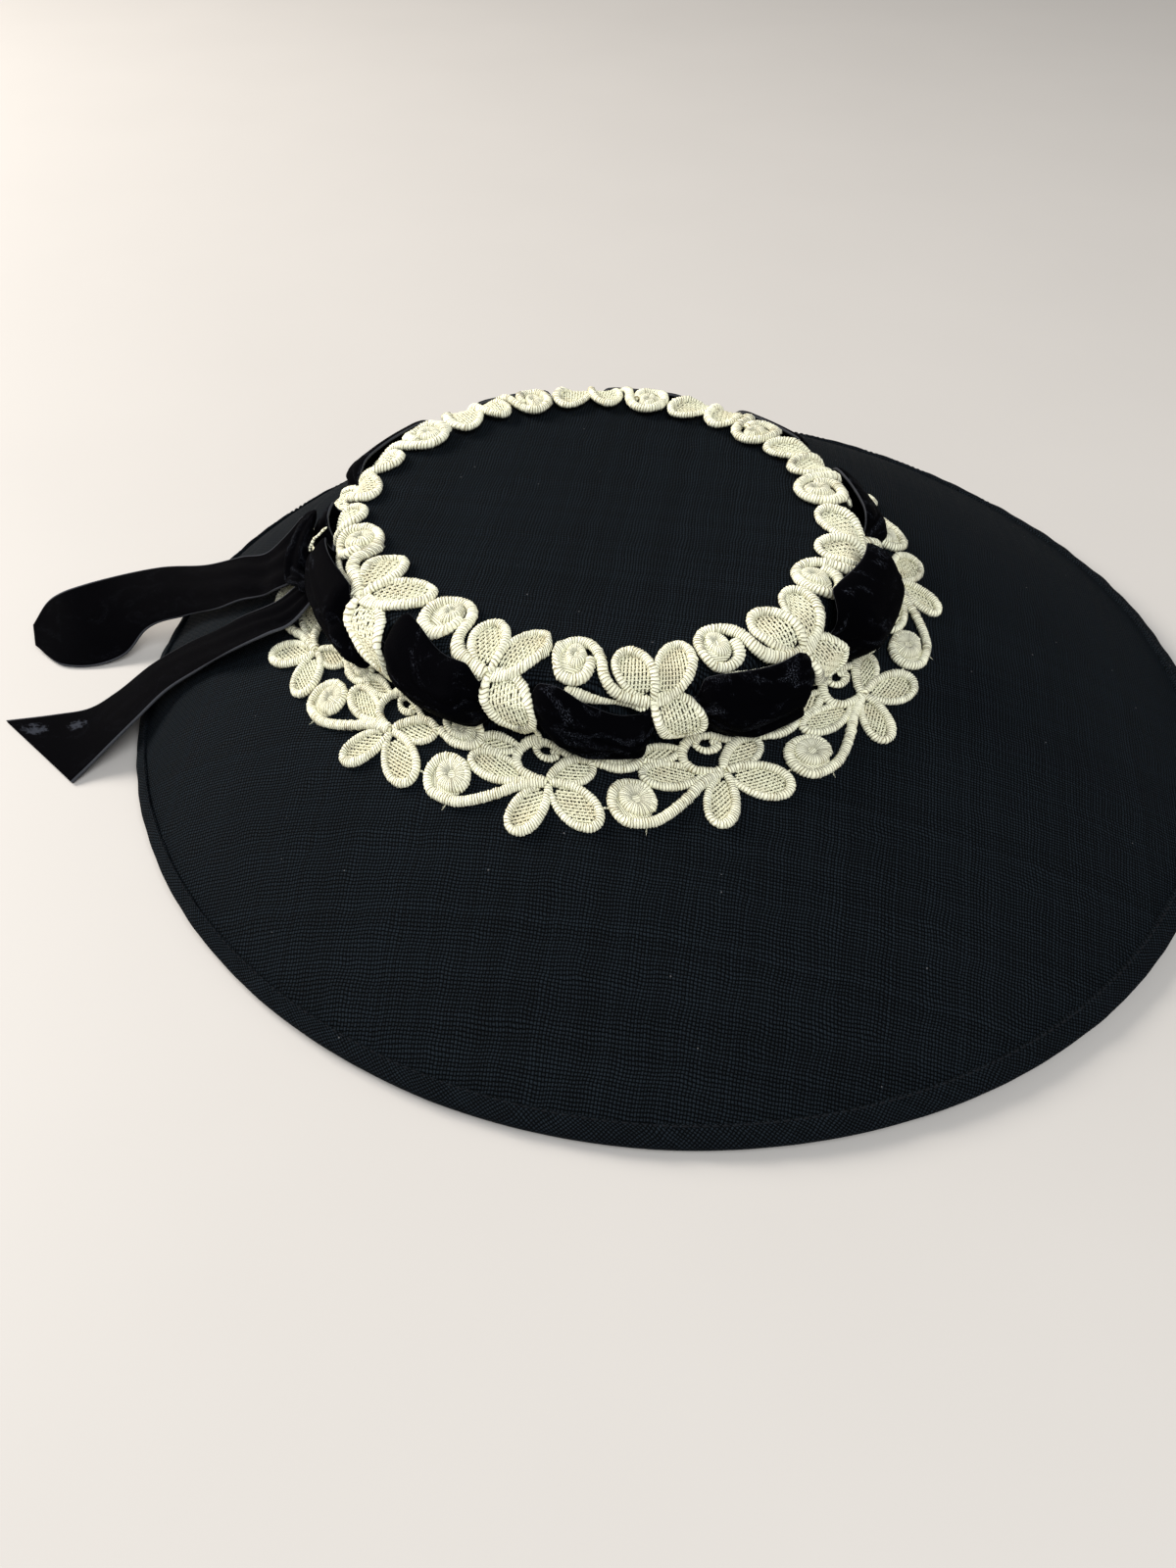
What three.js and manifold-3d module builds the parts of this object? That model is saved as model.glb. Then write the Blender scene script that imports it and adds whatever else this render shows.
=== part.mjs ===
// Picture hat: shallow cloth crown, wide drooping brim with a bound edge, a corded lace band
// over the crown, and a velvet ribbon drawn through the lace in puffs, knotted at the back.
// Millimetres, +Z up. +X is the front of the hat, the knot is at the back on -X.
import * as THREE from "three";
import { mergeVertices } from "three/addons/utils/BufferGeometryUtils.js";
import Module from "manifold-3d";

const wasm = await Module();
wasm.setup();

// Driving dimensions
const RIM_RADIUS = 190;
const CROWN_SETBACK = 26;
const CROWN_TOP_Z = 70.7;
const CROWN_DOME = 1.2;
const CROWN_TOP_RADIUS = 85.5;
const CROWN_BASE_RADIUS = 89.5;
const CROWN_BASE_Z = 46;
const CROWN_WALL = 1.8;
const CROWN_SEGMENTS = 40;
const BRIM_HOLE_RADIUS = 90.3;
const BRIM_ROOT_RADIUS = 90.5;
const BRIM_ROOT_Z = 48;
const BRIM_FALL = 20;
const BRIM_DROOP = 24.8;
const BRIM_WALL = 2.2;
const BRIM_SHEET_RADIUS = 189;
const BRIM_SPAN = BRIM_SHEET_RADIUS - BRIM_ROOT_RADIUS;
const BRIM_SEGMENTS = 40;
const FRONT_LIFT = 2.5;
const FRONT_LIFT_SPAN = 62;
const RIBBON_WALL = 1.2;
const LACE_GAP = 0.8;
const LACE_THICK = 2.2;
const LACE_LOW_THICK = 1.3;
const BRIDGE_RISE = 4.3;
const REPEATS = 11;
const PERIOD = 360 / REPEATS;
const JOIN = REPEATS - 1;

const DEG = Math.PI / 180;

const fabric = new THREE.MeshStandardMaterial({ color: 0x1b1c1f, roughness: 0.9, metalness: 0 });
const binding = new THREE.MeshStandardMaterial({ color: 0x1f2023, roughness: 0.85, metalness: 0 });
const ivory = new THREE.MeshStandardMaterial({ color: 0xe6dfc6, roughness: 0.8, metalness: 0 });
const velvet = new THREE.MeshStandardMaterial({ color: 0x08080b, roughness: 0.95, metalness: 0 });

// Small numeric helpers
const lerp = (a, b, u) => a + (b - a) * u;
const clamp01 = (u) => Math.min(1, Math.max(0, u));
const smooth = (u) => clamp01(u) ** 2 * (3 - 2 * clamp01(u));

function interp(x, rows, inKey, outKey) {
  const last = rows.length - 1;
  if (x <= rows[0][inKey]) return rows[0][outKey];
  if (x >= rows[last][inKey]) return rows[last][outKey];
  const i = rows.findIndex((row) => row[inKey] > x);
  const a = rows[i - 1];
  const b = rows[i];
  return lerp(a[outKey], b[outKey], (x - a[inKey]) / (b[inKey] - a[inKey]));
}

// A closed mesh from vertex triples and triangle triples, turned so that its faces point out
function geometryOf(verts, tris) {
  let volume = 0;
  for (const [a, b, c] of tris) {
    const [p, q, r] = [verts[a], verts[b], verts[c]];
    volume += p[0] * (q[1] * r[2] - q[2] * r[1]);
    volume += p[1] * (q[2] * r[0] - q[0] * r[2]);
    volume += p[2] * (q[0] * r[1] - q[1] * r[0]);
  }
  const index = volume < 0 ? tris.map(([a, b, c]) => [a, c, b]) : tris;
  const geometry = new THREE.BufferGeometry();
  geometry.setAttribute("position", new THREE.Float32BufferAttribute(verts.flat(), 3));
  geometry.setIndex(index.flat());
  return geometry;
}

// Skin over rings of equal point count. Ends are capped by fans, or the rings close on themselves.
function loft(rings, ringClosed = false) {
  const n = rings[0].length;
  const count = rings.length;
  const tris = [];
  const bands = ringClosed ? count : count - 1;
  for (let i = 0; i < bands; i++) {
    const j = (i + 1) % count;
    for (let k = 0; k < n; k++) {
      const m = (k + 1) % n;
      tris.push([i * n + k, i * n + m, j * n + m], [i * n + k, j * n + m, j * n + k]);
    }
  }
  if (!ringClosed) {
    const e = (count - 1) * n;
    for (let k = 1; k < n - 1; k++) {
      tris.push([0, k + 1, k], [e, e + k, e + k + 1]);
    }
  }
  return geometryOf(rings.flat(), tris);
}

// Brim surface: the same fall everywhere, from the crown's foot to a rim set forward of it
const brimShare = (r) => Math.max(0, (r - BRIM_ROOT_RADIUS) / BRIM_SPAN);
const brimHeight = (v) => BRIM_ROOT_Z - BRIM_FALL * v - BRIM_DROOP * v * v;
function frontLift(deg) {
  const a = ((((deg + 180) % 360) + 360) % 360) - 180;
  const u = Math.min(1, Math.abs(a) / FRONT_LIFT_SPAN);
  return FRONT_LIFT * Math.cos((u * Math.PI) / 2) ** 2;
}
function place(deg, r, z, v) {
  const a = deg * DEG;
  const x = -CROWN_SETBACK * (1 - v) + r * Math.cos(a);
  return [x, r * Math.sin(a), z + frontLift(deg) * Math.min(1, v * v)];
}
const onProfile = (deg, r, z) => place(deg, r, z, brimShare(r));

// The surface that the lace and the ribbon lie on, from the crown's top over its edge to the brim
const supportRows = [
  { r: 60, z: 71.4 },
  { r: 78.5, z: 71.3 },
  { r: 81.8, z: 70.7 },
  { r: 84.3, z: 69.1 },
  { r: 86, z: 66.6 },
  { r: 86.8, z: 63.6 },
  { r: 88, z: 57.8 },
  { r: 89, z: 54 },
  { r: 90.4, z: 50.9 },
  { r: 92.6, z: 48.8 },
  { r: 96.5, z: 47.2 },
  { r: 105.4, z: 44.7 },
  { r: 115.4, z: 41.7 },
  { r: 125.3, z: 38.1 },
  { r: 140, z: 32 },
];
const FOOT_T = 50;
const FRONT_STRETCH = 0.24;
const SIDE_NARROWING = 0.16;
supportRows.forEach((row, i) => {
  const a = supportRows[Math.max(0, i - 1)];
  const b = supportRows[Math.min(supportRows.length - 1, i + 1)];
  const size = Math.hypot(b.r - a.r, b.z - a.z);
  row.nr = -(b.z - a.z) / size;
  row.nz = (b.r - a.r) / size;
  row.t = i === 0 ? 0 : a.t + Math.hypot(row.r - a.r, row.z - a.z);
});
function supportAt(deg, t) {
  const c = Math.cos(deg * DEG);
  const stretch = (1 + FRONT_STRETCH * c) / (1 - SIDE_NARROWING * c * c);
  const s = t <= FOOT_T ? t : FOOT_T + (t - FOOT_T) / stretch;
  const [r, z, nr, nz] = ["r", "z", "nr", "nz"].map((key) => interp(s, supportRows, "t", key));
  return { r, z, nr, nz };
}
function onHat(deg, t, h) {
  const s = supportAt(deg, t);
  const size = Math.hypot(s.nr, s.nz);
  return place(deg, s.r + (h * s.nr) / size, s.z + (h * s.nz) / size, brimShare(s.r));
}

// Where each lace repeat sits around the crown: scroll, upper flower and lower flower, in degrees,
// and how far down its scroll and its upper flower are shifted. The last row is the lace's join.
const repeatRows = [
  { scroll: 198, upper: 216.5, lower: 235.7, scrollDown: 2, upperDown: -4 },
  { scroll: 237, upper: 253.4, lower: 265, scrollDown: -4.2, upperDown: -4 },
  { scroll: 269.2, upper: 285.05, lower: 294.1, scrollDown: 0, upperDown: 0 },
  { scroll: 299.8, upper: 319, lower: 326.9, scrollDown: 1.2, upperDown: -2.2 },
  { scroll: 335.3, upper: 354, lower: 363.9, scrollDown: -1, upperDown: -2.2 },
  { scroll: 374, upper: 389.5, lower: 400, scrollDown: 0.8, upperDown: -1.2 },
  { scroll: 406, upper: 422.5, lower: 433.5, scrollDown: 0.8, upperDown: -3.7 },
  { scroll: 440.5, upper: 456.5, lower: 467.5, scrollDown: 0.8, upperDown: -2 },
  { scroll: 474, upper: 488.5, lower: 501, scrollDown: 0.8, upperDown: -2.5 },
  { scroll: 507, upper: 527.5, lower: 537, scrollDown: 0.3, upperDown: -1 },
  { scroll: 548.2, upper: 540.5, lower: 569.5, scrollDown: 0, upperDown: 0 },
];
const SCROLL_AT = -27.4;
const FLOWER_AT = -11.5;
const MERGE_FROM = 30;
const SHIFT_UNTIL = 33;
const MERGE_SPAN = 14;
const upperRows = [];
const lowerRows = [];
for (let turn = -1; turn <= 1; turn++) {
  repeatRows.forEach((row, k) => {
    const nominal = (turn * REPEATS + k) * PERIOD;
    const full = turn * 360;
    upperRows.push({ nominal: nominal + SCROLL_AT, deg: row.scroll + full, down: row.scrollDown });
    upperRows.push({ nominal: nominal + FLOWER_AT, deg: row.upper + full, down: row.upperDown });
    lowerRows.push({ nominal, deg: row.lower + full });
  });
}
function aroundAt(nominal, t) {
  const upper = interp(nominal, upperRows, "nominal", "deg");
  const lower = interp(nominal, lowerRows, "nominal", "deg");
  return lerp(upper, lower, smooth((t - MERGE_FROM) / MERGE_SPAN));
}
function downAt(nominal, t) {
  return t + interp(nominal, upperRows, "nominal", "down") * smooth((SHIFT_UNTIL - t) / MERGE_SPAN);
}
const laceAt = (nominal, t, h) => onHat(aroundAt(nominal, t), downAt(nominal, t), h);
const mmPerDegree = (t) => supportAt(270, t).r * DEG;

// Lace shapes are drawn flat on the unrolled band: degrees of the repeat, and distance down it
const leafRows = [
  { u: 0.44, width: 0.74 },
  { u: 0.8, width: 0.94 },
];
function leafOutline({ base, tip, half }) {
  const scale = mmPerDegree((base[1] + tip[1]) / 2);
  const dx = (tip[0] - base[0]) * scale;
  const dy = tip[1] - base[1];
  const size = Math.hypot(dx, dy);
  const side = (sign) => leafRows.map(({ u, width }) => {
    const w = sign * half * width;
    const across = [(-dy / size / scale) * w, (dx / size) * w];
    return [lerp(base[0], tip[0], u) + across[0], lerp(base[1], tip[1], u) + across[1]];
  });
  return [...side(-1), tip, ...side(1).reverse()];
}
const wholeLeaf = (leaf) => [leaf.base, ...leafOutline(leaf)];
// A flower: leaves round a hub, with a notch between neighbours
function flowerOutline({ hub, notches, leaves }) {
  return leaves.flatMap((l, i) => [...leafOutline({ base: hub, ...l }), notches[i]]);
}
function cordOutline({ points, radius, steps }) {
  const path = new THREE.CatmullRomCurve3(points.map(([s, t]) => new THREE.Vector3(s, t, 0)));
  const side = (sign) => Array.from({ length: steps + 1 }, (_, i) => {
    const p = path.getPoint(i / steps);
    const d = path.getTangent(i / steps);
    const scale = mmPerDegree(p.y);
    const size = Math.hypot(d.x * scale, d.y);
    const w = sign * radius;
    return [p.x - (d.y / size / scale) * w, p.y + ((d.x * scale) / size) * w];
  });
  return [...side(1), ...side(-1).reverse()];
}
function buttonOutline({ at, wide, tall, sides }) {
  const scale = mmPerDegree(at[1]);
  return Array.from({ length: sides }, (_, k) => {
    const a = ((k + 0.5) / sides) * 2 * Math.PI;
    return [at[0] + (wide * Math.cos(a)) / scale, at[1] + tall * Math.sin(a)];
  });
}

// One repeat, in degrees from its lower flower and millimetres down the band
const flowerTable = [
  {
    name: "upper flower", hub: [FLOWER_AT, 30.6],
    leaves: [
      { tip: [-16.6, 14], half: 5.9 },
      { tip: [-1.2, 14], half: 7 },
      { tip: [-1.4, 40.2], half: 6.4 },
    ],
    notches: [[-10.7, 26], [-8.4, 29.8], [-13, 31.6]],
  },
  {
    name: "lower flower", hub: [0.2, 58],
    leaves: [
      { tip: [9.8, 50], half: 5.3 },
      { tip: [8.5, 70.4], half: 7.3 },
      { tip: [-6.8, 75], half: 5.9 },
    ],
    notches: [[3.2, 58.8], [0.5, 63.4], [-1.5, 57.4]],
  },
];
const leafTable = [
  { name: "side", base: [-3.6, 56.6], tip: [-15.5, 55.2], half: 5 },
  { name: "side top", base: [-5.2, 47.8], tip: [-14.6, 48.6], half: 4 },
];
const joinLeaf = { base: [-2.1, 29], tip: [-6.9, 14.6], half: 6.6 };
const cordTable = [
  {
    name: "scroll stem", radius: 1.6, steps: 3,
    points: [[-23.8, 12], [-21.6, 17.5], [-20.8, 23], [-18.4, 27.4], [-14.6, 29.7], [-11.4, 30.6]],
  },
  { name: "bar", radius: 1.4, steps: 1, points: [[-28.3, 27.4], [-20, 29.8], [-12, 30.9]] },
  { name: "scroll tie", radius: 1.2, steps: 1, points: [[-35.7, 19], [-32.7, 19.4], [-29.8, 19.6]] },
  {
    name: "brim stem", radius: 1.6, steps: 3,
    points: [[-15.9, 70], [-12, 67.2], [-8.3, 63.5], [-3.8, 59.5], [0.2, 58]],
  },
  {
    name: "eyelet", radius: 1.6, steps: 4,
    points: [[-0.8, 44.4], [-3.5, 46], [-5.8, 50.6], [-4.8, 55.4], [0, 57.9]],
  },
  { name: "bridge foot", radius: 1.6, steps: 1, points: [[-1.8, 39], [-1.4, 42], [-1, 45]] },
  { name: "hook", radius: 1.2, steps: 1, points: [[-1.1, 44.6], [2, 46.6], [5.4, 50.6]] },
  { name: "scroll link", radius: 1.2, steps: 1, points: [[8, 50.8], [10, 50.3], [12.4, 49.6]] },
  { name: "brim tie", radius: 1.2, steps: 1, points: [[7.5, 64.8], [10, 64.6], [12.5, 64.4]] },
];
const buttonTable = [
  { name: "scroll", at: [-27.3, 17.8], wide: 6.8, tall: 8.4, sides: 7 },
  { name: "brim scroll", at: [-18.35, 63.9], wide: 8, tall: 7.9, sides: 7 },
  { name: "half hidden scroll", at: [14.9, 47.8], wide: 7.6, tall: 5.6, sides: 6 },
];
// The join at the back has no scroll, and one leaf in place of the upper flower
const absentAtJoin = new Set(["scroll", "scroll stem", "bar", "scroll tie", "upper flower", "bridge foot"]);

// The lace's underside and its thickness; the bridge leaf climbs over the ribbon
const bridgeRows = [
  { t: 30.7, rise: 0 },
  { t: 34, rise: BRIDGE_RISE },
  { t: 40.5, rise: BRIDGE_RISE },
  { t: 44, rise: 0 },
];
const thickRows = [
  { t: 40.5, thick: LACE_THICK },
  { t: 44, thick: LACE_LOW_THICK },
  { t: 50.5, thick: LACE_LOW_THICK },
  { t: 56, thick: LACE_THICK },
];
const BRIDGE_AT = -6.4;
const BRIDGE_HALF = 9.5;
const BRIDGE_FADE = 2.5;
function bridgeShare(nominal) {
  const from = nominal - BRIDGE_AT;
  return clamp01((BRIDGE_HALF - Math.abs(from - PERIOD * Math.round(from / PERIOD))) / BRIDGE_FADE);
}
function laceHeight(nominal, t, top) {
  const low = LACE_GAP + bridgeShare(nominal) * interp(t, bridgeRows, "t", "rise");
  return top ? low + interp(t, thickRows, "t", "thick") : low;
}

// Closed meshes as solids, and back
function toSolid(geometry) {
  geometry.deleteAttribute("normal");
  geometry.deleteAttribute("uv");
  const clean = mergeVertices(geometry, 1e-4);
  const vertProperties = new Float32Array(clean.attributes.position.array);
  const triVerts = new Uint32Array(clean.index.array);
  return new wasm.Manifold(new wasm.Mesh({ numProp: 3, vertProperties, triVerts }));
}
const FLAT_SCALE = 1.536;
function flatPlate(outline) {
  const shape = new THREE.Shape(outline.map(([s, t]) => new THREE.Vector2(s * FLAT_SCALE, t)));
  return toSolid(new THREE.ExtrudeGeometry(shape, { depth: 1, bevelEnabled: false }));
}
function flatBox(fromS, toS, fromT, toT) {
  const box = new THREE.BoxGeometry(toS - fromS, toT - fromT, 4);
  box.translate((fromS + toS) / 2, (fromT + toT) / 2, 0.5);
  return toSolid(box);
}

// The lace: flat plates joined, parted at the band's bends, then laid on the hat as one ring
const BAND_START = -3.4 * FLAT_SCALE;
const BAND_LENGTH = 360 * FLAT_SCALE;
const bendLines = [0, 21.5, 25.6, 30.7, 34, 40.5, 44, 50.5, 90];
function flatLace() {
  const plates = [];
  for (let k = -1; k <= REPEATS; k++) {
    const atJoin = (k + REPEATS) % REPEATS === JOIN;
    const move = ([s, t]) => [s + k * PERIOD, t];
    const kept = (item) => !atJoin || !absentAtJoin.has(item.name);
    const outlines = [
      ...flowerTable.filter(kept).map(flowerOutline),
      ...(atJoin ? [wholeLeaf(joinLeaf)] : []),
      ...leafTable.filter(kept).map(wholeLeaf),
      ...cordTable.filter(kept).map(cordOutline),
      ...buttonTable.filter(kept).map(buttonOutline),
    ];
    outlines.forEach((outline) => plates.push(flatPlate(outline.map(move))));
  }
  return plates.reduce((sum, plate) => sum.add(plate));
}
// Triangles of the flat lace between two bend lines, without the faces of the cut itself
function flatBand(flat, fromT, toT) {
  const window = flatBox(BAND_START, BAND_START + BAND_LENGTH, fromT, toT);
  const { vertProperties: v, triVerts } = flat.intersect(window).getMesh();
  const point = (i) => [v[3 * i], v[3 * i + 1], Math.round(v[3 * i + 2])];
  const triangles = [];
  for (let i = 0; i < triVerts.length; i += 3) {
    const corners = [0, 1, 2].map((k) => point(triVerts[i + k]));
    const onCut = (axis, at) => corners.every((p) => Math.abs(p[axis] - at) < 1e-3);
    const cut = onCut(1, fromT) || onCut(1, toT);
    const seam = onCut(0, BAND_START) || onCut(0, BAND_START + BAND_LENGTH);
    if (!cut && !seam) triangles.push(corners);
  }
  return triangles;
}
// Bands meet point to point: an edge on a bend line is split where the other band has a corner
function splitAtBends(triangles) {
  const lines = new Map();
  const lineOf = (p) => {
    const k = bendLines.findIndex((t) => Math.abs(t - p[1]) < 1e-3);
    return k < 0 ? null : `${k} ${p[2]}`;
  };
  triangles.flat().forEach((p) => {
    const key = lineOf(p);
    if (key) lines.set(key, [...(lines.get(key) ?? []), p]);
  });
  return triangles.flatMap((corners) => {
    for (let k = 0; k < 3; k++) {
      const [p, q, r] = [corners[k], corners[(k + 1) % 3], corners[(k + 2) % 3]];
      const key = lineOf(p);
      if (!key || key !== lineOf(q)) continue;
      const [low, high] = [Math.min(p[0], q[0]) + 2e-3, Math.max(p[0], q[0]) - 2e-3];
      const sign = Math.sign(q[0] - p[0]);
      const between = lines.get(key).filter((c) => c[0] > low && c[0] < high);
      between.sort((c, d) => sign * (c[0] - d[0]));
      const apart = between.filter((c, i) => i === 0 || Math.abs(c[0] - between[i - 1][0]) > 2e-3);
      const chain = [p, ...apart, q];
      return chain.slice(1).map((c, i) => [chain[i], c, r]);
    }
    return [corners];
  });
}
function laceGeometry() {
  const flat = flatLace();
  const bands = bendLines.slice(1).map((toT, i) => flatBand(flat, bendLines[i], toT));
  const verts = [];
  const cells = new Map();
  const weld = (p) => {
    const c = p.map((x) => Math.floor(x * 200));
    for (let n = 0; n < 27; n++) {
      const step = [n % 3, Math.floor(n / 3) % 3, Math.floor(n / 9)];
      const near = cells.get(c.map((x, k) => x + step[k] - 1).join()) ?? [];
      const same = near.find((i) => Math.hypot(...p.map((x, k) => x - verts[i][k])) < 2e-3);
      if (same !== undefined) return same;
    }
    cells.set(c.join(), [...(cells.get(c.join()) ?? []), verts.length]);
    verts.push(p);
    return verts.length - 1;
  };
  const laid = ([x, t, top]) => {
    const nominal = x / FLAT_SCALE;
    return weld(laceAt(nominal, t, laceHeight(nominal, t, top > 0)));
  };
  const tris = splitAtBends(bands.flat()).map((corners) => corners.map(laid));
  return geometryOf(verts, tris.filter((corner) => new Set(corner).size === 3));
}

// Crown: turned shell, flat topped with a rounded edge, open below
function crownGeometry() {
  const w = CROWN_WALL;
  const t = CROWN_TOP_Z;
  const r = CROWN_TOP_RADIUS;
  const profile = [
    [0, t + CROWN_DOME], [r - 6, t], [r - 3.3, t - 0.7], [r - 1.2, t - 2.5], [r, t - 5.2],
    [CROWN_BASE_RADIUS, CROWN_BASE_Z], [CROWN_BASE_RADIUS - w, CROWN_BASE_Z],
    [r - w, t - 5.5], [r - 3.4, t - 3], [r - 6.4, t - w],
    [0, t + CROWN_DOME - w],
  ];
  const points = profile.map(([a, b]) => new THREE.Vector2(a, b)).reverse();
  const geometry = new THREE.LatheGeometry(points, CROWN_SEGMENTS);
  geometry.deleteAttribute("normal");
  geometry.deleteAttribute("uv");
  return mergeVertices(geometry, 1e-4);
}

// A section of radius and height points carried round the brim, closed on itself
function aroundBrim(section) {
  const rings = Array.from({ length: BRIM_SEGMENTS }, (_, i) => {
    const deg = (i / BRIM_SEGMENTS) * 360;
    return section.map(([r, z]) => onProfile(deg, r, z));
  });
  return loft(rings, true);
}
function brimGeometry() {
  const shares = [0.36, 0.7, 0.986];
  const slope = (v) => -(BRIM_FALL + 2 * BRIM_DROOP * v) / BRIM_SPAN;
  const radiusAt = (v) => BRIM_ROOT_RADIUS + v * BRIM_SPAN;
  const top = shares.map((v) => [radiusAt(v), brimHeight(v)]);
  const under = shares.map((v) => {
    const size = Math.hypot(1, slope(v));
    return [radiusAt(v) + (BRIM_WALL * slope(v)) / size, brimHeight(v) - BRIM_WALL / size];
  });
  const root = [BRIM_HOLE_RADIUS, BRIM_ROOT_Z];
  const rootUnder = [BRIM_HOLE_RADIUS - 0.15, BRIM_ROOT_Z - BRIM_WALL + 0.05];
  return aroundBrim([root, ...top, ...under.reverse(), rootUnder]);
}
// Binding: a folded strip over the brim's edge, with a flat foot where the hat rests
function bindingGeometry() {
  return aroundBrim([
    [185.4, 7.55], [RIM_RADIUS, 3.5], [188.6, 0], [186.2, 0], [182.5, 3.2],
    [183.1, 4.05], [186.65, 1.8], [188.4, 4.05], [184.8, 6.75],
  ]);
}

// Ribbon band: pinched flat under each bridge leaf and under the knot, with a puff between.
// The pinch slants with the bridge leaf and stands upright under the knot. A puff's top edge
// lies over the lace's bar, or clear below it.
const puffRows = [
  { swell: 8.2, top: 27, topOut: 4.2 },
  { swell: 7.8, top: 34.2, topOut: 2 },
  { swell: 8.2, top: 27.4, topOut: 4.2 },
  { swell: 9.4, top: 22.6, topOut: 7.2 },
  { swell: 8.2, top: 27, topOut: 4.2 },
  { swell: 8.2, top: 27, topOut: 4.2 },
  { swell: 8, top: 27.4, topOut: 4.2 },
  { swell: 7.6, top: 27.4, topOut: 4.2 },
  { swell: 8.4, top: 27, topOut: 4.2 },
  { swell: 5.2, top: 27.4, topOut: 5.4 },
  { swell: 6.8, top: 27.2, topOut: 5 },
];
const PINCH_AT = -3.6;
const KNOT_PINCH_AT = -15.5;
const PINCH_T = 40;
const PINCH_LEAN = 8 / 15;
const PINCH_OUT = 1.1;
const OVER_LACE = 4.4;
const edgeRows = [
  { from: 0, top: 33, puffed: 0, bottom: 39.8, out: PINCH_OUT, share: 0 },
  { from: 6, top: 33, puffed: 0, bottom: 40, out: PINCH_OUT, share: 0 },
  { from: 10.4, top: 31.5, puffed: 0.75, bottom: 47.6, out: OVER_LACE, share: 0.75 },
  { from: PERIOD / 2, top: 31.5, puffed: 1, bottom: 48.6, out: OVER_LACE, share: 1 },
  { from: PERIOD - 10.4, top: 34.6, puffed: 0.1, bottom: 47.6, out: OVER_LACE, share: 0.75 },
  { from: PERIOD - 6, top: 33.4, puffed: 0, bottom: 40, out: PINCH_OUT, share: 0 },
];
const pinchAt = (k) => k * PERIOD + (k === JOIN ? KNOT_PINCH_AT : PINCH_AT);
function ribbonBandGeometry() {
  const rings = [];
  puffRows.forEach(({ swell, top: puffTop, topOut }, k) => {
    edgeRows.forEach(({ from, top: edgeTop, puffed, bottom, out, share }) => {
      const top = lerp(edgeTop, puffTop, puffed);
      const high = swell * share;
      const nominal = from > PERIOD / 2 ? pinchAt(k + 1) + from - PERIOD : pinchAt(k) + from;
      const section = [
        { t: top, h: lerp(out, topOut, puffed) },
        { t: lerp(top, bottom, 0.3), h: 1.5 + high * 0.92 },
        { t: lerp(top, bottom, 0.68), h: lerp(1.5, 3, share) + high },
        { t: bottom, h: lerp(1.8, 4.3, share) },
      ];
      const follows = k === JOIN ? from / PERIOD : k === JOIN - 1 ? 1 - from / PERIOD : 1;
      const at = ({ t, h }) => {
        const slanted = aroundAt(nominal + PINCH_LEAN * (t - PINCH_T), t);
        return onHat(lerp(aroundAt(nominal, PINCH_T), slanted, follows), t, h);
      };
      const outer = section.map(({ t, h }, i) => {
        const a = section[Math.max(0, i - 1)];
        const b = section[Math.min(section.length - 1, i + 1)];
        const push = RIBBON_WALL / Math.hypot(b.t - a.t, b.h - a.h);
        return at({ t: t - (b.h - a.h) * push, h: h + (b.t - a.t) * push });
      });
      rings.push([...section.map(at), ...outer.reverse()]);
    });
  });
  return loft(rings, true);
}

// Knot: the ribbon's fold standing over the pinch at the back, leaning with the pinch
const knotRows = [
  { deg: 184, t: 29.4, half: 2.4, low: 8.8, high: 11 },
  { deg: 185.6, t: 31, half: 3.8, low: 9, high: 13.6 },
  { deg: 189.2, t: 35, half: 4.4, low: 8.8, high: 16.2 },
  { deg: 193.5, t: 40, half: 5, low: 8.4, high: 16.8 },
  { deg: 197.5, t: 45, half: 4.6, low: 7.8, high: 15.4 },
  { deg: 199.6, t: 48.4, half: 3.2, low: 8.2, high: 12.6 },
];
function knotGeometry() {
  const rings = knotRows.map(({ deg, t, half, low, high }) => {
    const scale = mmPerDegree(t);
    const at = (w, u) => onHat(deg + (w * half) / scale, t, lerp(low, high, u));
    return [at(-0.7, 0), at(-1, 0.5), at(-0.6, 0.95), at(0, 0.78), at(0.6, 1), at(1, 0.5), at(0.7, 0)];
  });
  return loft(rings);
}

// Ribbon tails: both edges of each strip from the knot over the brim to the resting surface
const upperTailRows = [
  { far: [-133.5, -9, 56.5], near: [-132, -26, 51] },
  { far: [-141, -5, 50], near: [-139, -21.5, 44.5] },
  { far: [-153, 1, 43.5], near: [-148.5, -18, 39.2] },
  { far: [-172, 10.5, 32], near: [-160, -13.5, 31] },
  { far: [-195.5, 19, 23], near: [-178.5, -4.5, 19.4] },
  { far: [-214, 17.5, 18.5], near: [-196.5, -2.5, 10] },
  { far: [-224, 12, 18], near: [-204, -9.5, 3] },
  { far: [-232, 9, 16], near: [-214.5, -14.5, 0.8] },
  { far: [-238.5, 8.6, 11.5], near: [-226, -15.3, 0.8] },
  { far: [-242.8, 0.6, 6], near: [-240, -6.6, 2] },
];
const lowerTailRows = [
  { far: [-131, -29.5, 48.5], near: [-123, -42.5, 49.5] },
  { far: [-144.6, -29.5, 41], near: [-130, -46.5, 47.5] },
  { far: [-153.5, -28.5, 34.5], near: [-141, -47.5, 41.5] },
  { far: [-172, -23, 20.5], near: [-157.5, -44.5, 29] },
  { far: [-186.5, -24.5, 11], near: [-170.5, -47.5, 20.5] },
  { far: [-197, -34, 5.5], near: [-179, -56, 14.5] },
  { far: [-205, -40.5, 3], near: [-186.5, -63, 9] },
  { far: [-217, -43.5, 1.6], near: [-193, -69, 4] },
  { far: [-233.5, -47.5, 0.8], near: [-198, -75, 0.8] },
];
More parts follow.
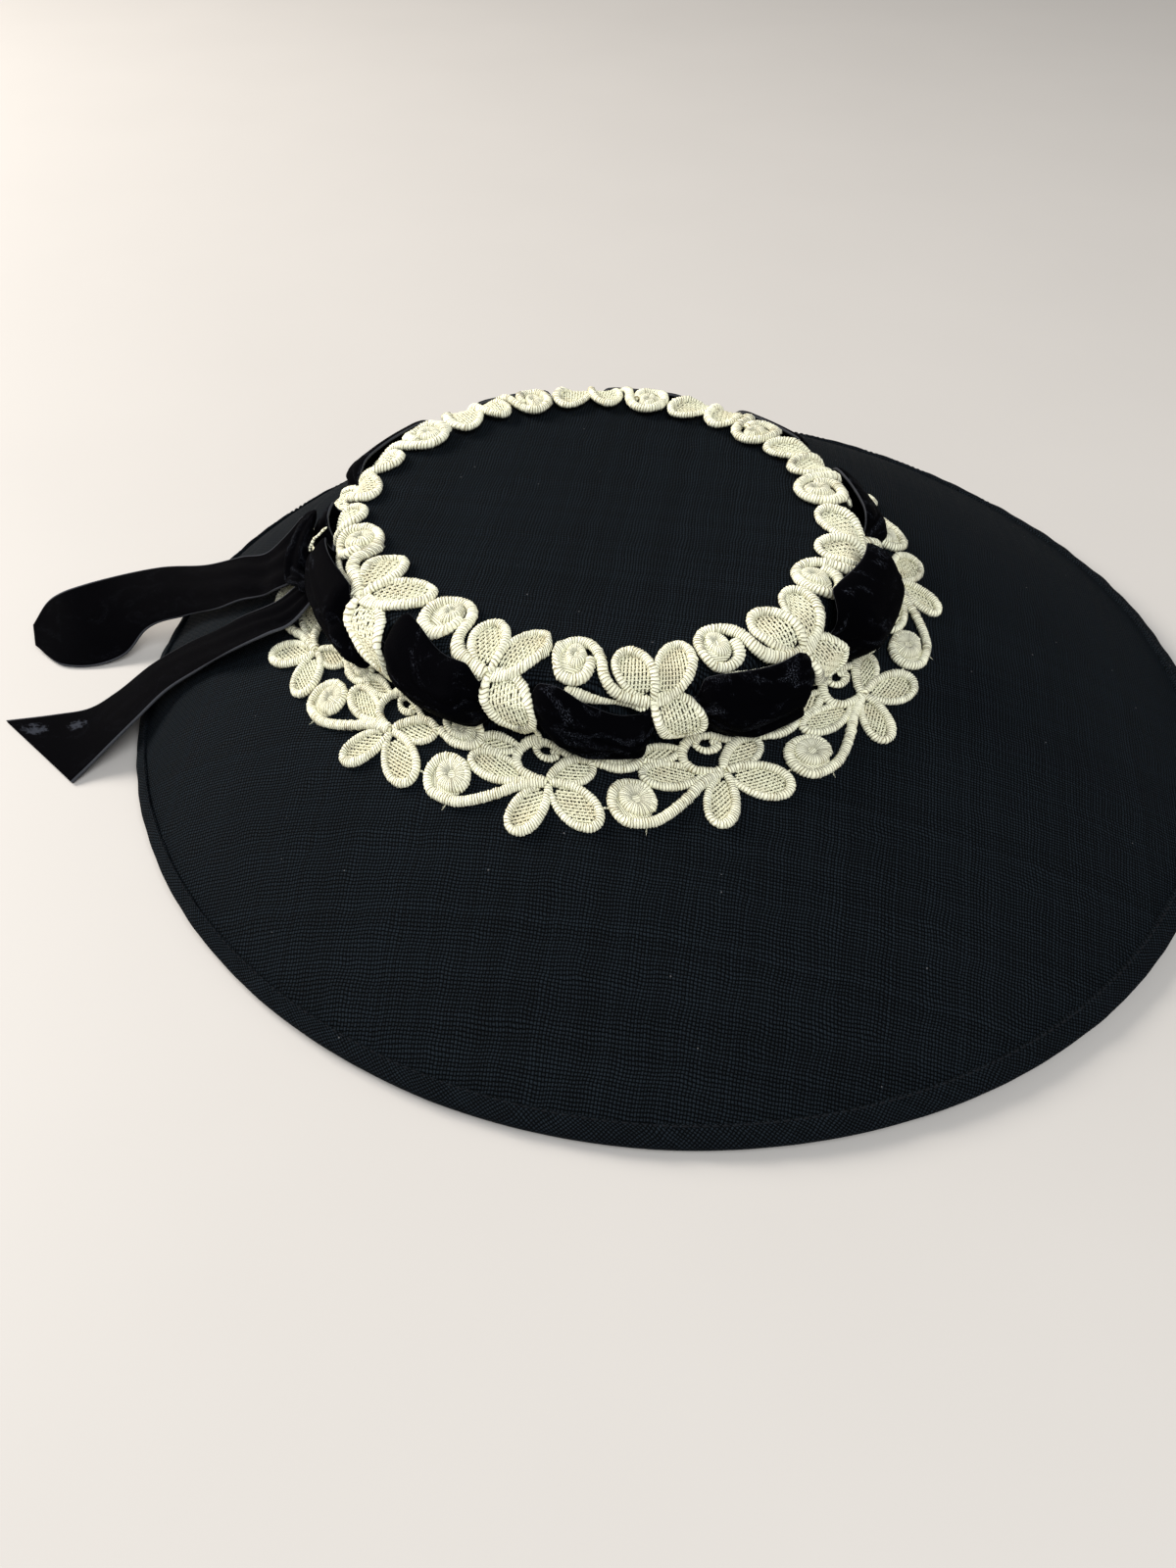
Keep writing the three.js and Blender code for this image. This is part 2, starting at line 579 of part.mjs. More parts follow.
function tailGeometry(rows) {
  const far = rows.map((row) => new THREE.Vector3(...row.far));
  const near = rows.map((row) => new THREE.Vector3(...row.near));
  const middle = far.map((p, i) => p.clone().add(near[i]).multiplyScalar(0.5));
  const rings = rows.map((_, i) => {
    const along = middle[Math.min(rows.length - 1, i + 1)].clone();
    along.sub(middle[Math.max(0, i - 1)]);
    const across = near[i].clone().sub(far[i]);
    const normal = along.cross(across).normalize().multiplyScalar(RIBBON_WALL / 2);
    const up = [far[i], middle[i], near[i]].map((p) => p.clone().add(normal).toArray());
    const down = [near[i], middle[i], far[i]].map((p) => p.clone().sub(normal).toArray());
    return [...up, ...down];
  });
  return loft(rings);
}

const hat = new THREE.Group();
function addPiece(name, geometry, material) {
  const mesh = new THREE.Mesh(geometry, material);
  mesh.name = name;
  hat.add(mesh);
  return mesh;
}
const crown = addPiece("crown", crownGeometry(), fabric);
crown.rotation.x = Math.PI / 2;
crown.position.x = -CROWN_SETBACK;
addPiece("brim", brimGeometry(), fabric);
addPiece("brim_binding", bindingGeometry(), binding);
addPiece("lace", laceGeometry(), ivory);
addPiece("ribbon_band", ribbonBandGeometry(), velvet);
addPiece("ribbon_knot", knotGeometry(), velvet);
addPiece("ribbon_tail_upper", tailGeometry(upperTailRows), velvet);
addPiece("ribbon_tail_lower", tailGeometry(lowerTailRows), velvet);

// The origin is under the middle of the hat's box, on the surface it rests on
hat.updateMatrixWorld(true);
const box = new THREE.Box3().setFromObject(hat, true);
const middle = box.getCenter(new THREE.Vector3());
hat.position.set(-middle.x, -middle.y, -box.min.z);
hat.updateMatrixWorld(true);

export default hat;
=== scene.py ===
"""Picture hat: cloth crown and brim, corded lace band, velvet ribbon, and the stage they lie on.

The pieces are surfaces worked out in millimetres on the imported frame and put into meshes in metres.
+X is the front of the hat, the ribbon's knot is at the back on -X, and z = 0 is the floor.
"""
import math

import bpy
import numpy as np
from bpy.props import FloatProperty, FloatVectorProperty, IntProperty, PointerProperty
from mathutils import Matrix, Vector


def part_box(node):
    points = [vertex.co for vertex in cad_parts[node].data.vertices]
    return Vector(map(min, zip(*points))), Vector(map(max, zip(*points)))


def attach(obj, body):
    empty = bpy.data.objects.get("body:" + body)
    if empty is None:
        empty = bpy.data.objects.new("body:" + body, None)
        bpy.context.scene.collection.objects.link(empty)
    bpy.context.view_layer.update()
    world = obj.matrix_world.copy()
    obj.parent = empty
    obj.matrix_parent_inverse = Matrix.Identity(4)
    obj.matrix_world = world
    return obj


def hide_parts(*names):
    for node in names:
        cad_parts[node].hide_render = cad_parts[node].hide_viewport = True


bl_info = {
    "name": "Picture hat",
    "version": (1, 0, 0),
    "blender": (4, 5, 0),
    "location": "3D View > Sidebar > Hat",
    "description": "Dresses a picture hat with cloth, corded lace and velvet ribbon, and sets its stage",
    "category": "Object",
}

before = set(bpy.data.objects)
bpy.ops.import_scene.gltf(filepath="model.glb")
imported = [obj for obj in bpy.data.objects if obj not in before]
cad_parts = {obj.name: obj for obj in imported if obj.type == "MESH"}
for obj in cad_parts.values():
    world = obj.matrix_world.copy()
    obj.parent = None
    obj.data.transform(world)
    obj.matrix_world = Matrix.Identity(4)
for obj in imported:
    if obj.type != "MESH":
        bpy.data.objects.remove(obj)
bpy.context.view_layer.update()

MM = 0.001
DEG = math.pi / 180
REPEATS = 11
PERIOD = 360 / REPEATS


def box_mm(node):
    """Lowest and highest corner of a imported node, in millimetres."""
    return [np.array(corner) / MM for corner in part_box(node)]


CROWN_LOW, CROWN_HIGH = box_mm("crown")
RIM_LOW, RIM_HIGH = box_mm("brim_binding")
CROWN_X = (CROWN_LOW[0] + CROWN_HIGH[0]) / 2
CROWN_FOOT_RADIUS = (CROWN_HIGH[1] - CROWN_LOW[1]) / 2
CROWN_FOOT_Z = CROWN_LOW[2]
# Crown: rise of its top, spread of its side, radius of its edge, wall
CROWN_DOME = 1.2
CROWN_SPREAD = 4
CROWN_EDGE = 6
CROWN_WALL = 1.8
CROWN_TOP_Z = CROWN_HIGH[2] - CROWN_DOME
CROWN_TOP_RADIUS = CROWN_FOOT_RADIUS - CROWN_SPREAD
RIM_RADIUS = (RIM_HIGH[1] - RIM_LOW[1]) / 2
RIM_X = (RIM_LOW[0] + RIM_HIGH[0]) / 2
# Brim: gap round the crown's foot, inset of its sheet in the binding, rise of its root, fall, droop, wall
FOOT_GAP = 1
EDGE_INSET = 1
ROOT_RISE = 2
BRIM_INNER_RADIUS = CROWN_FOOT_RADIUS + FOOT_GAP
BRIM_SPAN = RIM_RADIUS - EDGE_INSET - BRIM_INNER_RADIUS
BRIM_ROOT_Z = CROWN_FOOT_Z + ROOT_RISE
BRIM_FALL = 20
BRIM_DROOP = 24.8
BRIM_WALL = 2.2
RIM_SHIFT = (RIM_X - CROWN_X) / ((RIM_RADIUS - BRIM_INNER_RADIUS) / BRIM_SPAN)
# Rise of the rim at the front, and how many degrees it takes to each side
FRONT_LIFT = 2.5
FRONT_LIFT_SPAN = 62


# Settings that a user may change


class ClothSettings(bpy.types.PropertyGroup):
    """The black cloth of the crown, the brim and its binding."""

    colour: FloatVectorProperty(
        name="Cloth", description="Base colour of the cloth", subtype="COLOR", size=3,
        min=0, max=1, default=(0.0023, 0.0032, 0.0042),
    )
    thread_pitch: FloatProperty(
        name="Thread pitch", description="Distance from one thread to the next", unit="LENGTH",
        subtype="DISTANCE", precision=5, default=0.00095,
    )
    stitch_pitch: FloatProperty(
        name="Stitch pitch", description="Length of one stitch and its gap on the binding",
        unit="LENGTH", subtype="DISTANCE", precision=4, default=0.0027,
    )


class LaceSettings(bpy.types.PropertyGroup):
    """The ivory lace: satin-wrapped cords, net and loose ends."""

    colour: FloatVectorProperty(
        name="Thread", description="Base colour of the lace thread", subtype="COLOR", size=3,
        min=0, max=1, default=(0.955, 0.96, 0.73),
    )
    cord_width: FloatProperty(
        name="Cord width", description="Width of a satin-wrapped cord", unit="LENGTH",
        subtype="DISTANCE", precision=4, default=0.0032,
    )
    net_pitch: FloatProperty(
        name="Net pitch", description="Distance between the threads of the net", unit="LENGTH",
        subtype="DISTANCE", precision=5, default=0.00106,
    )
    seed: IntProperty(name="Seed", description="Start of the uneven stitches", default=11)


class RibbonSettings(bpy.types.PropertyGroup):
    """The black velvet ribbon."""

    colour: FloatVectorProperty(
        name="Velvet", description="Base colour of the pile", subtype="COLOR", size=3,
        min=0, max=1, default=(0.0004, 0.0004, 0.0009),
    )
    selvedge: FloatVectorProperty(
        name="Selvedge", description="Colour of the woven edge", subtype="COLOR", size=3,
        min=0, max=1, default=(0.07, 0.074, 0.086),
    )
    wall: FloatProperty(
        name="Thickness", description="Thickness of the ribbon with its pile", unit="LENGTH",
        subtype="DISTANCE", precision=4, default=0.0009,
    )


class StageSettings(bpy.types.PropertyGroup):
    """The floor and the light."""

    floor: FloatVectorProperty(
        name="Floor", description="Colour of the floor", subtype="COLOR", size=3,
        min=0, max=1, default=(0.505, 0.488, 0.468),
    )
    key_power: FloatProperty(
        name="Key light", description="Power of the large light at the left", unit="POWER",
        default=49,
    )


# Numbers and curves


def smooth(u):
    """Soft step: 3u^2 - 2u^3 between 0 and 1."""
    u = np.clip(u, 0, 1)
    return u * u * (3 - 2 * u)


def blend(a, b, u):
    """Straight mix of a and b."""
    return a + (b - a) * u


def rises(x, start, span):
    """0 before start and 1 from start + span on, by a soft step."""
    return smooth((x - start) / span)


def falls(x, end, span):
    """1 up to end - span and 0 after end, by a soft step."""
    return smooth((end - x) / span)


def stacked(*columns):
    """Points whose columns are the given arrays, stretched to one shape."""
    return np.stack(np.broadcast_arrays(*columns), axis=-1)


def full_turn(count):
    """Angles of a closed ring in radians."""
    return np.linspace(0, 2 * math.pi, count, endpoint=False)


def run_length(points):
    """Distance along a path at each of its points."""
    return np.concatenate([[0], np.cumsum(np.linalg.norm(np.diff(points, axis=0), axis=1))])


def hermite(x, known_x, known_y):
    """Cubic curve through the known points, its slope at each point the mean slope around it."""
    known_x, known_y = np.asarray(known_x, float), np.asarray(known_y, float)
    slope = np.gradient(known_y, known_x)
    i = np.clip(np.searchsorted(known_x, x, side="right") - 1, 0, len(known_x) - 2)
    step = known_x[i + 1] - known_x[i]
    u = np.clip((x - known_x[i]) / step, 0, 1)
    a = (1 + 2 * u) * (1 - u) ** 2 * known_y[i] + u * (1 - u) ** 2 * step * slope[i]
    return a + u * u * (3 - 2 * u) * known_y[i + 1] - u * u * (1 - u) * step * slope[i + 1]


def spline(points, count):
    """Smooth path through points of any dimension, sampled at equal distances."""
    points = np.asarray(points, float)
    at = run_length(points)
    fine = np.linspace(0, at[-1], 40 * len(points))
    path = np.stack([hermite(fine, at, column) for column in points.T], axis=-1)
    length = run_length(path)
    even = np.linspace(0, length[-1], count)
    return np.stack([np.interp(even, length, column) for column in path.T], axis=-1)


def ripple(angle, waves):
    """Sum of sines, each wave a row of (height, count per turn, phase in degrees)."""
    return sum(height * np.sin(count * angle + phase * DEG) for height, count, phase in waves)


# Meshes


def grid_faces(rows, columns, close_rows=False, close_columns=False):
    """Quads of a grid of points numbered row by row."""
    row = np.arange(rows if close_rows else rows - 1)[:, None]
    column = np.arange(columns if close_columns else columns - 1)[None, :]
    next_row, next_column = (row + 1) % rows, (column + 1) % columns
    corners = [
        row * columns + column,
        row * columns + next_column,
        next_row * columns + next_column,
        next_row * columns + column,
    ]
    return stacked(*corners).reshape(-1, 4)


def ring_caps(rows, columns):
    """Fans of triangles that close the first and the last ring of a tube."""
    k = np.arange(1, columns - 1)
    first = np.stack([0 * k, k + 1, k], axis=-1)
    last = np.stack([0 * k, k, k + 1], axis=-1) + (rows - 1) * columns
    return np.concatenate([first, last])


def mesh_from(name, points, quads, triangles=None, uv=None):
    """Smooth mesh from points in millimetres, quads, triangles and a texture place for each point."""
    points, quads = points.reshape(-1, 3), quads.reshape(-1, 4)
    triangles = np.zeros((0, 3), int) if triangles is None else triangles.reshape(-1, 3)
    corners = np.concatenate([quads.ravel(), triangles.ravel()])
    starts = np.concatenate([
        np.arange(len(quads)) * 4,
        len(quads) * 4 + np.arange(len(triangles)) * 3,
    ])
    mesh = bpy.data.meshes.new(name)
    mesh.vertices.add(len(points))
    mesh.vertices.foreach_set("co", (points * MM).astype(np.float32).ravel())
    mesh.loops.add(len(corners))
    mesh.loops.foreach_set("vertex_index", corners.astype(np.int32))
    mesh.polygons.add(len(starts))
    mesh.polygons.foreach_set("loop_start", starts.astype(np.int32))
    mesh.update(calc_edges=True)
    if mesh.validate():
        raise RuntimeError(f"{name} has faces that can't be used")
    mesh.shade_smooth()
    if uv is not None:
        layer = mesh.uv_layers.new(name="UVMap")
        layer.data.foreach_set("uv", uv.reshape(-1, 2)[corners].astype(np.float32).ravel())
    return mesh


def add_piece(name, mesh, material, slot, *nodes):
    """An object at the origin that rides on the hat and stands for the named nodes."""
    piece = bpy.data.objects.new(name, mesh)
    bpy.context.scene.collection.objects.link(piece)
    mesh.materials.append(material)
    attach(piece, "root")
    if nodes:
        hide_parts(*nodes)
    return piece


def thicken(piece, wall):
    """Gives a sheet its wall, half to each side."""
    solidify = piece.modifiers.new("wall", "SOLIDIFY")
    solidify.thickness = wall
    solidify.offset = 0
    solidify.use_even_offset = False


# The hat's own surface


def front_lift(deg):
    """The rim's rise at the front, a cosine hump."""
    away = np.abs((deg + 180) % 360 - 180)
    return FRONT_LIFT * np.cos(np.minimum(1, away / FRONT_LIFT_SPAN) * math.pi / 2) ** 2


def brim_share(r):
    """0 at the crown's foot and 1 at the edge of the brim's sheet."""
    return np.maximum(0, (r - BRIM_INNER_RADIUS) / BRIM_SPAN)


def place(deg, r, z, share):
    """A point of the section at that angle; the rim's circles are set forward of the crown's."""
    x = CROWN_X + RIM_SHIFT * share + r * np.cos(deg * DEG)
    y = r * np.sin(deg * DEG)
    return stacked(x, y, z + front_lift(deg) * np.minimum(1, share**2))


# Section that the lace and the ribbon lie on: radius, height
SECTION_ROWS = np.array([
    (60, 71.4), (78.5, 71.3), (81.8, 70.7), (84.3, 69.1), (86, 66.6), (86.8, 63.6), (88, 57.8),
    (89, 54), (90.4, 50.9), (92.6, 48.8), (96.5, 47.2), (105.4, 44.7), (115.4, 41.7),
    (125.3, 38.1), (140, 32),
])
# From the crown's foot on, the lace is drawn in at the front and let out a little at the back: shares
# that go with the cosine of the angle and with its square
FOOT_T = 50
DRAWN_FRONT = 0.24
DRAWN_ENDS = 0.16
ROW_T = run_length(SECTION_ROWS)
FINE_T = np.linspace(0, ROW_T[-1], 400)
FINE_R = hermite(FINE_T, ROW_T, SECTION_ROWS[:, 0])
FINE_Z = hermite(FINE_T, ROW_T, SECTION_ROWS[:, 1])
SLOPE_R, SLOPE_Z = np.gradient(FINE_R, FINE_T), np.gradient(FINE_Z, FINE_T)
SLOPE_SIZE = np.hypot(SLOPE_R, SLOPE_Z)


def on_hat(deg, t, h):
    """The point h outside the section, t millimetres along it from the crown's top."""
    c = np.cos(deg * DEG)
    drawn = (1 + DRAWN_FRONT * c) / (1 - DRAWN_ENDS * c * c)
    along = np.where(t <= FOOT_T, t, FOOT_T + (t - FOOT_T) / drawn)
    r, z = np.interp(along, FINE_T, FINE_R), np.interp(along, FINE_T, FINE_Z)
    out = np.interp(along, FINE_T, -SLOPE_Z / SLOPE_SIZE)
    up = np.interp(along, FINE_T, SLOPE_R / SLOPE_SIZE)
    return place(deg, r + h * out, z + h * up, brim_share(r))


def mm_per_degree(t):
    """Length of one degree of the band at t."""
    return np.interp(t, FINE_T, FINE_R) * DEG


# Where each lace repeat sits round the crown: scroll, upper flower, lower flower, in degrees,
# then how far down the scroll, the upper flower's leaves and its hub are shifted, in millimetres
REPEAT_ROWS = [
    (198, 216.5, 235.7, 2, -6, -4.8), (237, 253.4, 265, -4.2, -5.6, -3.7),
    (269.2, 285.05, 294.1, 0, 0, 0), (299.8, 319, 326.9, 1.2, -2.2, 0),
    (335.3, 354, 363.9, -1, -2.2, 0), (374, 389.5, 400, -2.6, -4, 0),
    (406, 422.5, 433.5, -2.8, -5.6, 0), (440.5, 456.5, 467.5, -2.8, -4.8, 0),
    (474, 488.5, 501, -2.6, -4.8, 0), (507, 527.5, 537, 0.3, 1.4, 0), (548.2, 540.5, 569.5, 0, 0, 0),
]
# Nominal degrees of scroll and flower in a repeat, and how far to each side their shift holds
SCROLL_AT = -27.4
FLOWER_AT = -11.5
SCROLL_SIDES = (-3, 4)
FLOWER_SIDES = (-5, 10)
# Along the section, each as place and length: the upper row's places go over into the lower row's,
# and the shifts of its leaves and of its hubs end
ROW_CHANGE = (30, 14)
LEAF_SHIFT_END = (33, 14)
HUB_SHIFT_END = (47, 9)
# The repeat where both ends of the lace meet
JOIN = REPEATS - 1


def measured_places():
    """Nominal degrees against real ones for the upper and the lower row, and the shifts of the upper row."""
    upper, lower, shift = [], [], []
    for turn in (-1, 0, 1):
        for k, (scroll, flower, low, scroll_shift, flower_shift, hub_shift) in enumerate(REPEAT_ROWS):
            nominal = (turn * REPEATS + k) * PERIOD
            upper.append((nominal + SCROLL_AT, scroll + 360 * turn))
            upper.append((nominal + FLOWER_AT, flower + 360 * turn))
            shift += [(nominal + SCROLL_AT + side, scroll_shift, 0) for side in SCROLL_SIDES]
            shift += [(nominal + FLOWER_AT + side, flower_shift, hub_shift) for side in FLOWER_SIDES]
            lower.append((nominal, low + 360 * turn))
    return np.array(upper), np.array(lower), np.array(shift)


UPPER_PLACES, LOWER_PLACES, UPPER_SHIFT = measured_places()


def around_at(nominal, t):
    """Real degrees of a nominal place: the upper row's above the ribbon, the lower row's below."""
    upper = np.interp(nominal, *UPPER_PLACES.T)
    lower = np.interp(nominal, *LOWER_PLACES.T)
    return blend(upper, lower, rises(t, *ROW_CHANGE))


def down_at(nominal, t):
    """Real distance down of a nominal place; only the upper row and its hubs are shifted."""
    high = falls(t, *LEAF_SHIFT_END)
    hub = (1 - high) * falls(t, *HUB_SHIFT_END)
    leaves, hubs = (np.interp(nominal, UPPER_SHIFT[:, 0], UPPER_SHIFT[:, i]) for i in (1, 2))
    return t + leaves * high + hubs * hub


# Shared shader groups


def feed(tree, socket, value):
    """Puts a number, a colour or another node's output into a socket."""
    if hasattr(value, "is_output"):
        tree.links.new(value, socket)
    elif isinstance(value, (int, float)):
        socket.default_value = value
    else:
        socket.default_value = (*value, 1)


def new_node(tree, kind, values):
    """A shader node with its sockets fed by name."""
    node = tree.nodes.new(f"ShaderNode{kind}")
    for socket, value in values.items():
        feed(tree, node.inputs[socket], value)
    return node


def shader_group(name, inputs, outputs):
    """An empty node group with named float or vector sockets."""
    group = bpy.data.node_groups.new(name, "ShaderNodeTree")
    for socket, kind, value in inputs:
        made = group.interface.new_socket(socket, in_out="INPUT", socket_type=kind)
        if value is not None:
            made.default_value = value
    for socket in outputs:
        group.interface.new_socket(socket, in_out="OUTPUT", socket_type="NodeSocketFloat")
    return group, group.nodes.new("NodeGroupInput"), group.nodes.new("NodeGroupOutput")


def math_node(tree, operation, *values):
    """Math node on sockets or numbers; returns its output."""
    node = tree.nodes.new("ShaderNodeMath")
    node.operation = operation
    for socket, value in zip(node.inputs, values):
        feed(tree, socket, value)
    return node.outputs[0]


def mix_number(tree, factor, a, b):
    """Number between a and b by factor."""
    node = tree.nodes.new("ShaderNodeMix")
    for i, value in zip((0, 2, 3), (factor, a, b)):
        feed(tree, node.inputs[i], value)
    return node.outputs[0]


def mix_colour(tree, factor, a, b):
    """Colour between a and b by factor; a and b are sockets or colours."""
    node = tree.nodes.new("ShaderNodeMix")
    node.data_type = "RGBA"
    for i, value in zip((0, 6, 7), (factor, a, b)):
        feed(tree, node.inputs[i], value)
    return node.outputs[2]


def smooth_ramp(tree, value, low, high):
    """0 below low, 1 above high, soft between."""
    node = new_node(tree, "MapRange", {"Value": value, "From Min": low, "From Max": high})
    node.interpolation_type = "SMOOTHSTEP"
    return node.outputs[0]


def arch(tree, f):
    """4f(1-f): 0 at both ends of a fraction and 1 in its middle."""
    left = math_node(tree, "MULTIPLY", f, 4.0)
    return math_node(tree, "MULTIPLY", left, math_node(tree, "SUBTRACT", 1.0, f))


def split_vector(tree, vector):
    """X, Y and Z of a vector."""
    return new_node(tree, "SeparateXYZ", {"Vector": vector}).outputs


def noise(tree, vector, scale, detail=2.0, roughness=0.5, distortion=0.0):
    """Noise texture on a vector; returns its factor."""
    values = {"Vector": vector, "Scale": scale, "Detail": detail, "Roughness": roughness}
    return new_node(tree, "TexNoise", {**values, "Distortion": distortion}).outputs["Fac"]


def mapped(tree, vector, scale=(1, 1, 1), turn=0.0):
    """Vector scaled and turned about Z."""
    node = tree.nodes.new("ShaderNodeMapping")
    node.inputs["Scale"].default_value = scale
    node.inputs["Rotation"].default_value = (0, 0, turn)
    tree.links.new(vector, node.inputs["Vector"])
    return node.outputs[0]


def random_of(tree, number):
    """A steady random value for each whole number."""
    node = tree.nodes.new("ShaderNodeTexWhiteNoise")
    node.noise_dimensions = "1D"
    tree.links.new(number, node.inputs["W"])
    return node.outputs["Value"]


# Weave: scale and reach of the threads' wander, both in threads, and how much of a thread's height
# bows along it
WANDER_SCALE = 0.07
WANDER = 3.0
BOW = 0.45


def plain_weave_group():
    """Plain weave on a vector counted in threads.

    In each square of the weave one thread lies on top: its height is 4f(1-f) across the thread,
    bowed by the same curve along it, and warp and weft take turns like the squares of a board.
    """
    group, given, made = shader_group(
        "plain_weave",
        [("Threads", "NodeSocketVector", None), ("Unevenness", "NodeSocketFloat", 0.18)],
        ["Height", "Tone"],
    )
    x, y, _ = split_vector(group, given.outputs["Threads"])
    wander = math_node(group, "SUBTRACT", noise(group, given.outputs["Threads"], WANDER_SCALE), 0.5)
    bend = math_node(group, "MULTIPLY", wander, WANDER)
    ways = (math_node(group, "ADD", x, bend), math_node(group, "SUBTRACT", y, bend))
    whole = [math_node(group, "FLOOR", way) for way in ways]
    bow = [arch(group, math_node(group, "FRACT", way)) for way in ways]
    square = math_node(group, "ABSOLUTE", math_node(group, "ADD", *whole))
    turn = math_node(group, "MODULO", square, 2.0)
    over = [
        math_node(group, "MULTIPLY", bow[i], math_node(group, "MULTIPLY_ADD", bow[1 - i], BOW, 1 - BOW))
        for i in (0, 1)
    ]
    tones = [random_of(group, math_node(group, "ADD", w, shift)) for w, shift in zip(whole, (0.25, 37.5))]
    tone = mix_number(group, turn, *tones)
    uneven = math_node(group, "SUBTRACT", tone, 0.5)
    slub = math_node(group, "MULTIPLY", uneven, given.outputs["Unevenness"])
    height = math_node(group, "ADD", mix_number(group, turn, *over), slub)
    group.links.new(height, made.inputs["Height"])
    group.links.new(tone, made.inputs["Tone"])
    return group


# Satin wrap: stitches to a millimetre, scale and reach of their waver, lean across the cord
SATIN_STITCHES = 1.11
WAVER_SCALE = 1.3
WAVER = 0.9
STITCH_LEAN = 0.4


def satin_wrap_group():
    """Satin stitches across a cord: rounded ridges 4f(1-f) along U, uneven in height and tone."""
    group, given, made = shader_group(
        "satin_wrap",
        [("UV", "NodeSocketVector", None), ("Stitches", "NodeSocketFloat", SATIN_STITCHES)],
        ["Height", "Tone"],
    )
    x, y, _ = split_vector(group, given.outputs["UV"])
    waver = noise(group, given.outputs["UV"], WAVER_SCALE, detail=1)
    lean = math_node(group, "MULTIPLY_ADD", waver, WAVER, math_node(group, "MULTIPLY", y, STITCH_LEAN))
    count = math_node(group, "ADD", math_node(group, "MULTIPLY", x, given.outputs["Stitches"]), lean)
    ridge = arch(group, math_node(group, "FRACT", count))
    tone = random_of(group, math_node(group, "FLOOR", count))
    group.links.new(math_node(group, "MULTIPLY_ADD", tone, 0.5, ridge), made.inputs["Height"])
    group.links.new(tone, made.inputs["Tone"])
    return group


# Materials


def new_material(name, plain):
    """Material with the sockets set that are the same all over it; returns material, tree, shader."""
    material = bpy.data.materials.new(name)
    material.use_nodes = True
    tree = material.node_tree
    shader = tree.nodes["Principled BSDF"]
    for socket, value in plain.items():
        shader.inputs[socket].default_value = value
    return material, tree, shader


def coordinates(tree, kind):
    """Object or UV coordinates."""
    return tree.nodes.new("ShaderNodeTexCoord").outputs[kind]


def place_group(tree, name, build, **values):
    """A node of the shared group with that name, its sockets fed by name; returns its outputs."""
    node = tree.nodes.new("ShaderNodeGroup")
    node.node_tree = bpy.data.node_groups.get(name) or build()
    for socket, value in values.items():
        feed(tree, node.inputs[socket], value)
    return node.outputs


def satin_wrap(tree, stitches):
    """Height and tone of satin stitches on the piece's own UV map."""
    where = coordinates(tree, "UV")
    return place_group(tree, "satin_wrap", satin_wrap_group, UV=where, Stitches=stitches)


def bump(tree, shader, height, strength, distance):
    """Bump from a height into the shader's normal."""
    node = new_node(tree, "Bump", {"Strength": strength, "Distance": distance, "Height": height})
    tree.links.new(node.outputs[0], shader.inputs["Normal"])


def yellowed(tree, colour, yellow, scale, detail, strength):
    """Colour gone yellow in patches, where a noise is above the clean share."""
    cloud = noise(tree, coordinates(tree, "Object"), scale, detail=detail)
    patches = math_node(tree, "MULTIPLY", math_node(tree, "SUBTRACT", cloud, CLEAN), strength)
    return mix_colour(tree, patches, colour, yellow)


def scaled_colour(colour, k):
    """Colour times k."""
    return tuple(min(1, k * c) for c in colour)


# Cloth: shares of its colour in the gaps, darkened as painted shade, on the dullest and the palest thread's
# crests, lightened as painted highlight, and in the clouds, then scale and strength of the clouds, and scale,
# radius and colour of the specks of lint
SHADED_GAP_SHARE = 0.4
LIT_CREST_SHARES = (5.5, 6.1)
CLOUD_SHARE = 0.8
CLOUD_SCALE, CLOUD_STRENGTH = 0.03, 0.3
LINT_SCALE, LINT_RADIUS = 0.11, 0.028
LINT = (0.09, 0.09, 0.095)


def cloth_material(name, source, turn):
    """Fine plain weave in black with specks of lint: uneven threads differ in tone, painted highlight makes
    the crests paler and painted shade makes the gaps darker.
    """
    settings = bpy.context.scene.hat_cloth
    material, tree, shader = new_material(name, {"Specular IOR Level": 0.03})
    where = coordinates(tree, source)
    unit = 1 / settings.thread_pitch if source == "Object" else MM / settings.thread_pitch
    threads = mapped(tree, where, scale=(unit, unit, unit), turn=turn)
    weave = place_group(tree, "plain_weave", plain_weave_group, Threads=threads)
    per_mm = mapped(tree, where, scale=(unit * settings.thread_pitch / MM,) * 3)
    crests = (scaled_colour(settings.colour, share) for share in LIT_CREST_SHARES)
    crest = mix_colour(tree, weave["Tone"], *crests)
    # Painted light and shade: the crests of the weave are painted pale and the gaps between threads painted
    # dark.
    lit_crest = smooth_ramp(tree, weave["Height"], low=0.4, high=1.05)
    toned = mix_colour(tree, lit_crest, scaled_colour(settings.colour, SHADED_GAP_SHARE), crest)
    cloud = math_node(tree, "MULTIPLY", noise(tree, per_mm, CLOUD_SCALE, detail=3), CLOUD_STRENGTH)
    cloudy = mix_colour(tree, cloud, toned, scaled_colour(settings.colour, CLOUD_SHARE))
    specks = new_node(tree, "TexVoronoi", {"Scale": LINT_SCALE, "Vector": per_mm})
    speck = math_node(tree, "LESS_THAN", specks.outputs["Distance"], LINT_RADIUS)
    tree.links.new(mix_colour(tree, speck, cloudy, LINT), shader.inputs["Base Color"])
    tree.links.new(mix_number(tree, weave["Tone"], 0.72, 0.95), shader.inputs["Roughness"])
    bump(tree, shader, weave["Height"], strength=1.0, distance=0.0003)
    return material


# Sewing thread: colour between its strands, painted shade, and on them, painted highlight, then strands to a
# millimetre
THREAD_SHADE, THREAD_HIGHLIGHT = (0.002, 0.002, 0.003), (0.009, 0.0105, 0.013)
THREAD_TWIST = 3.0


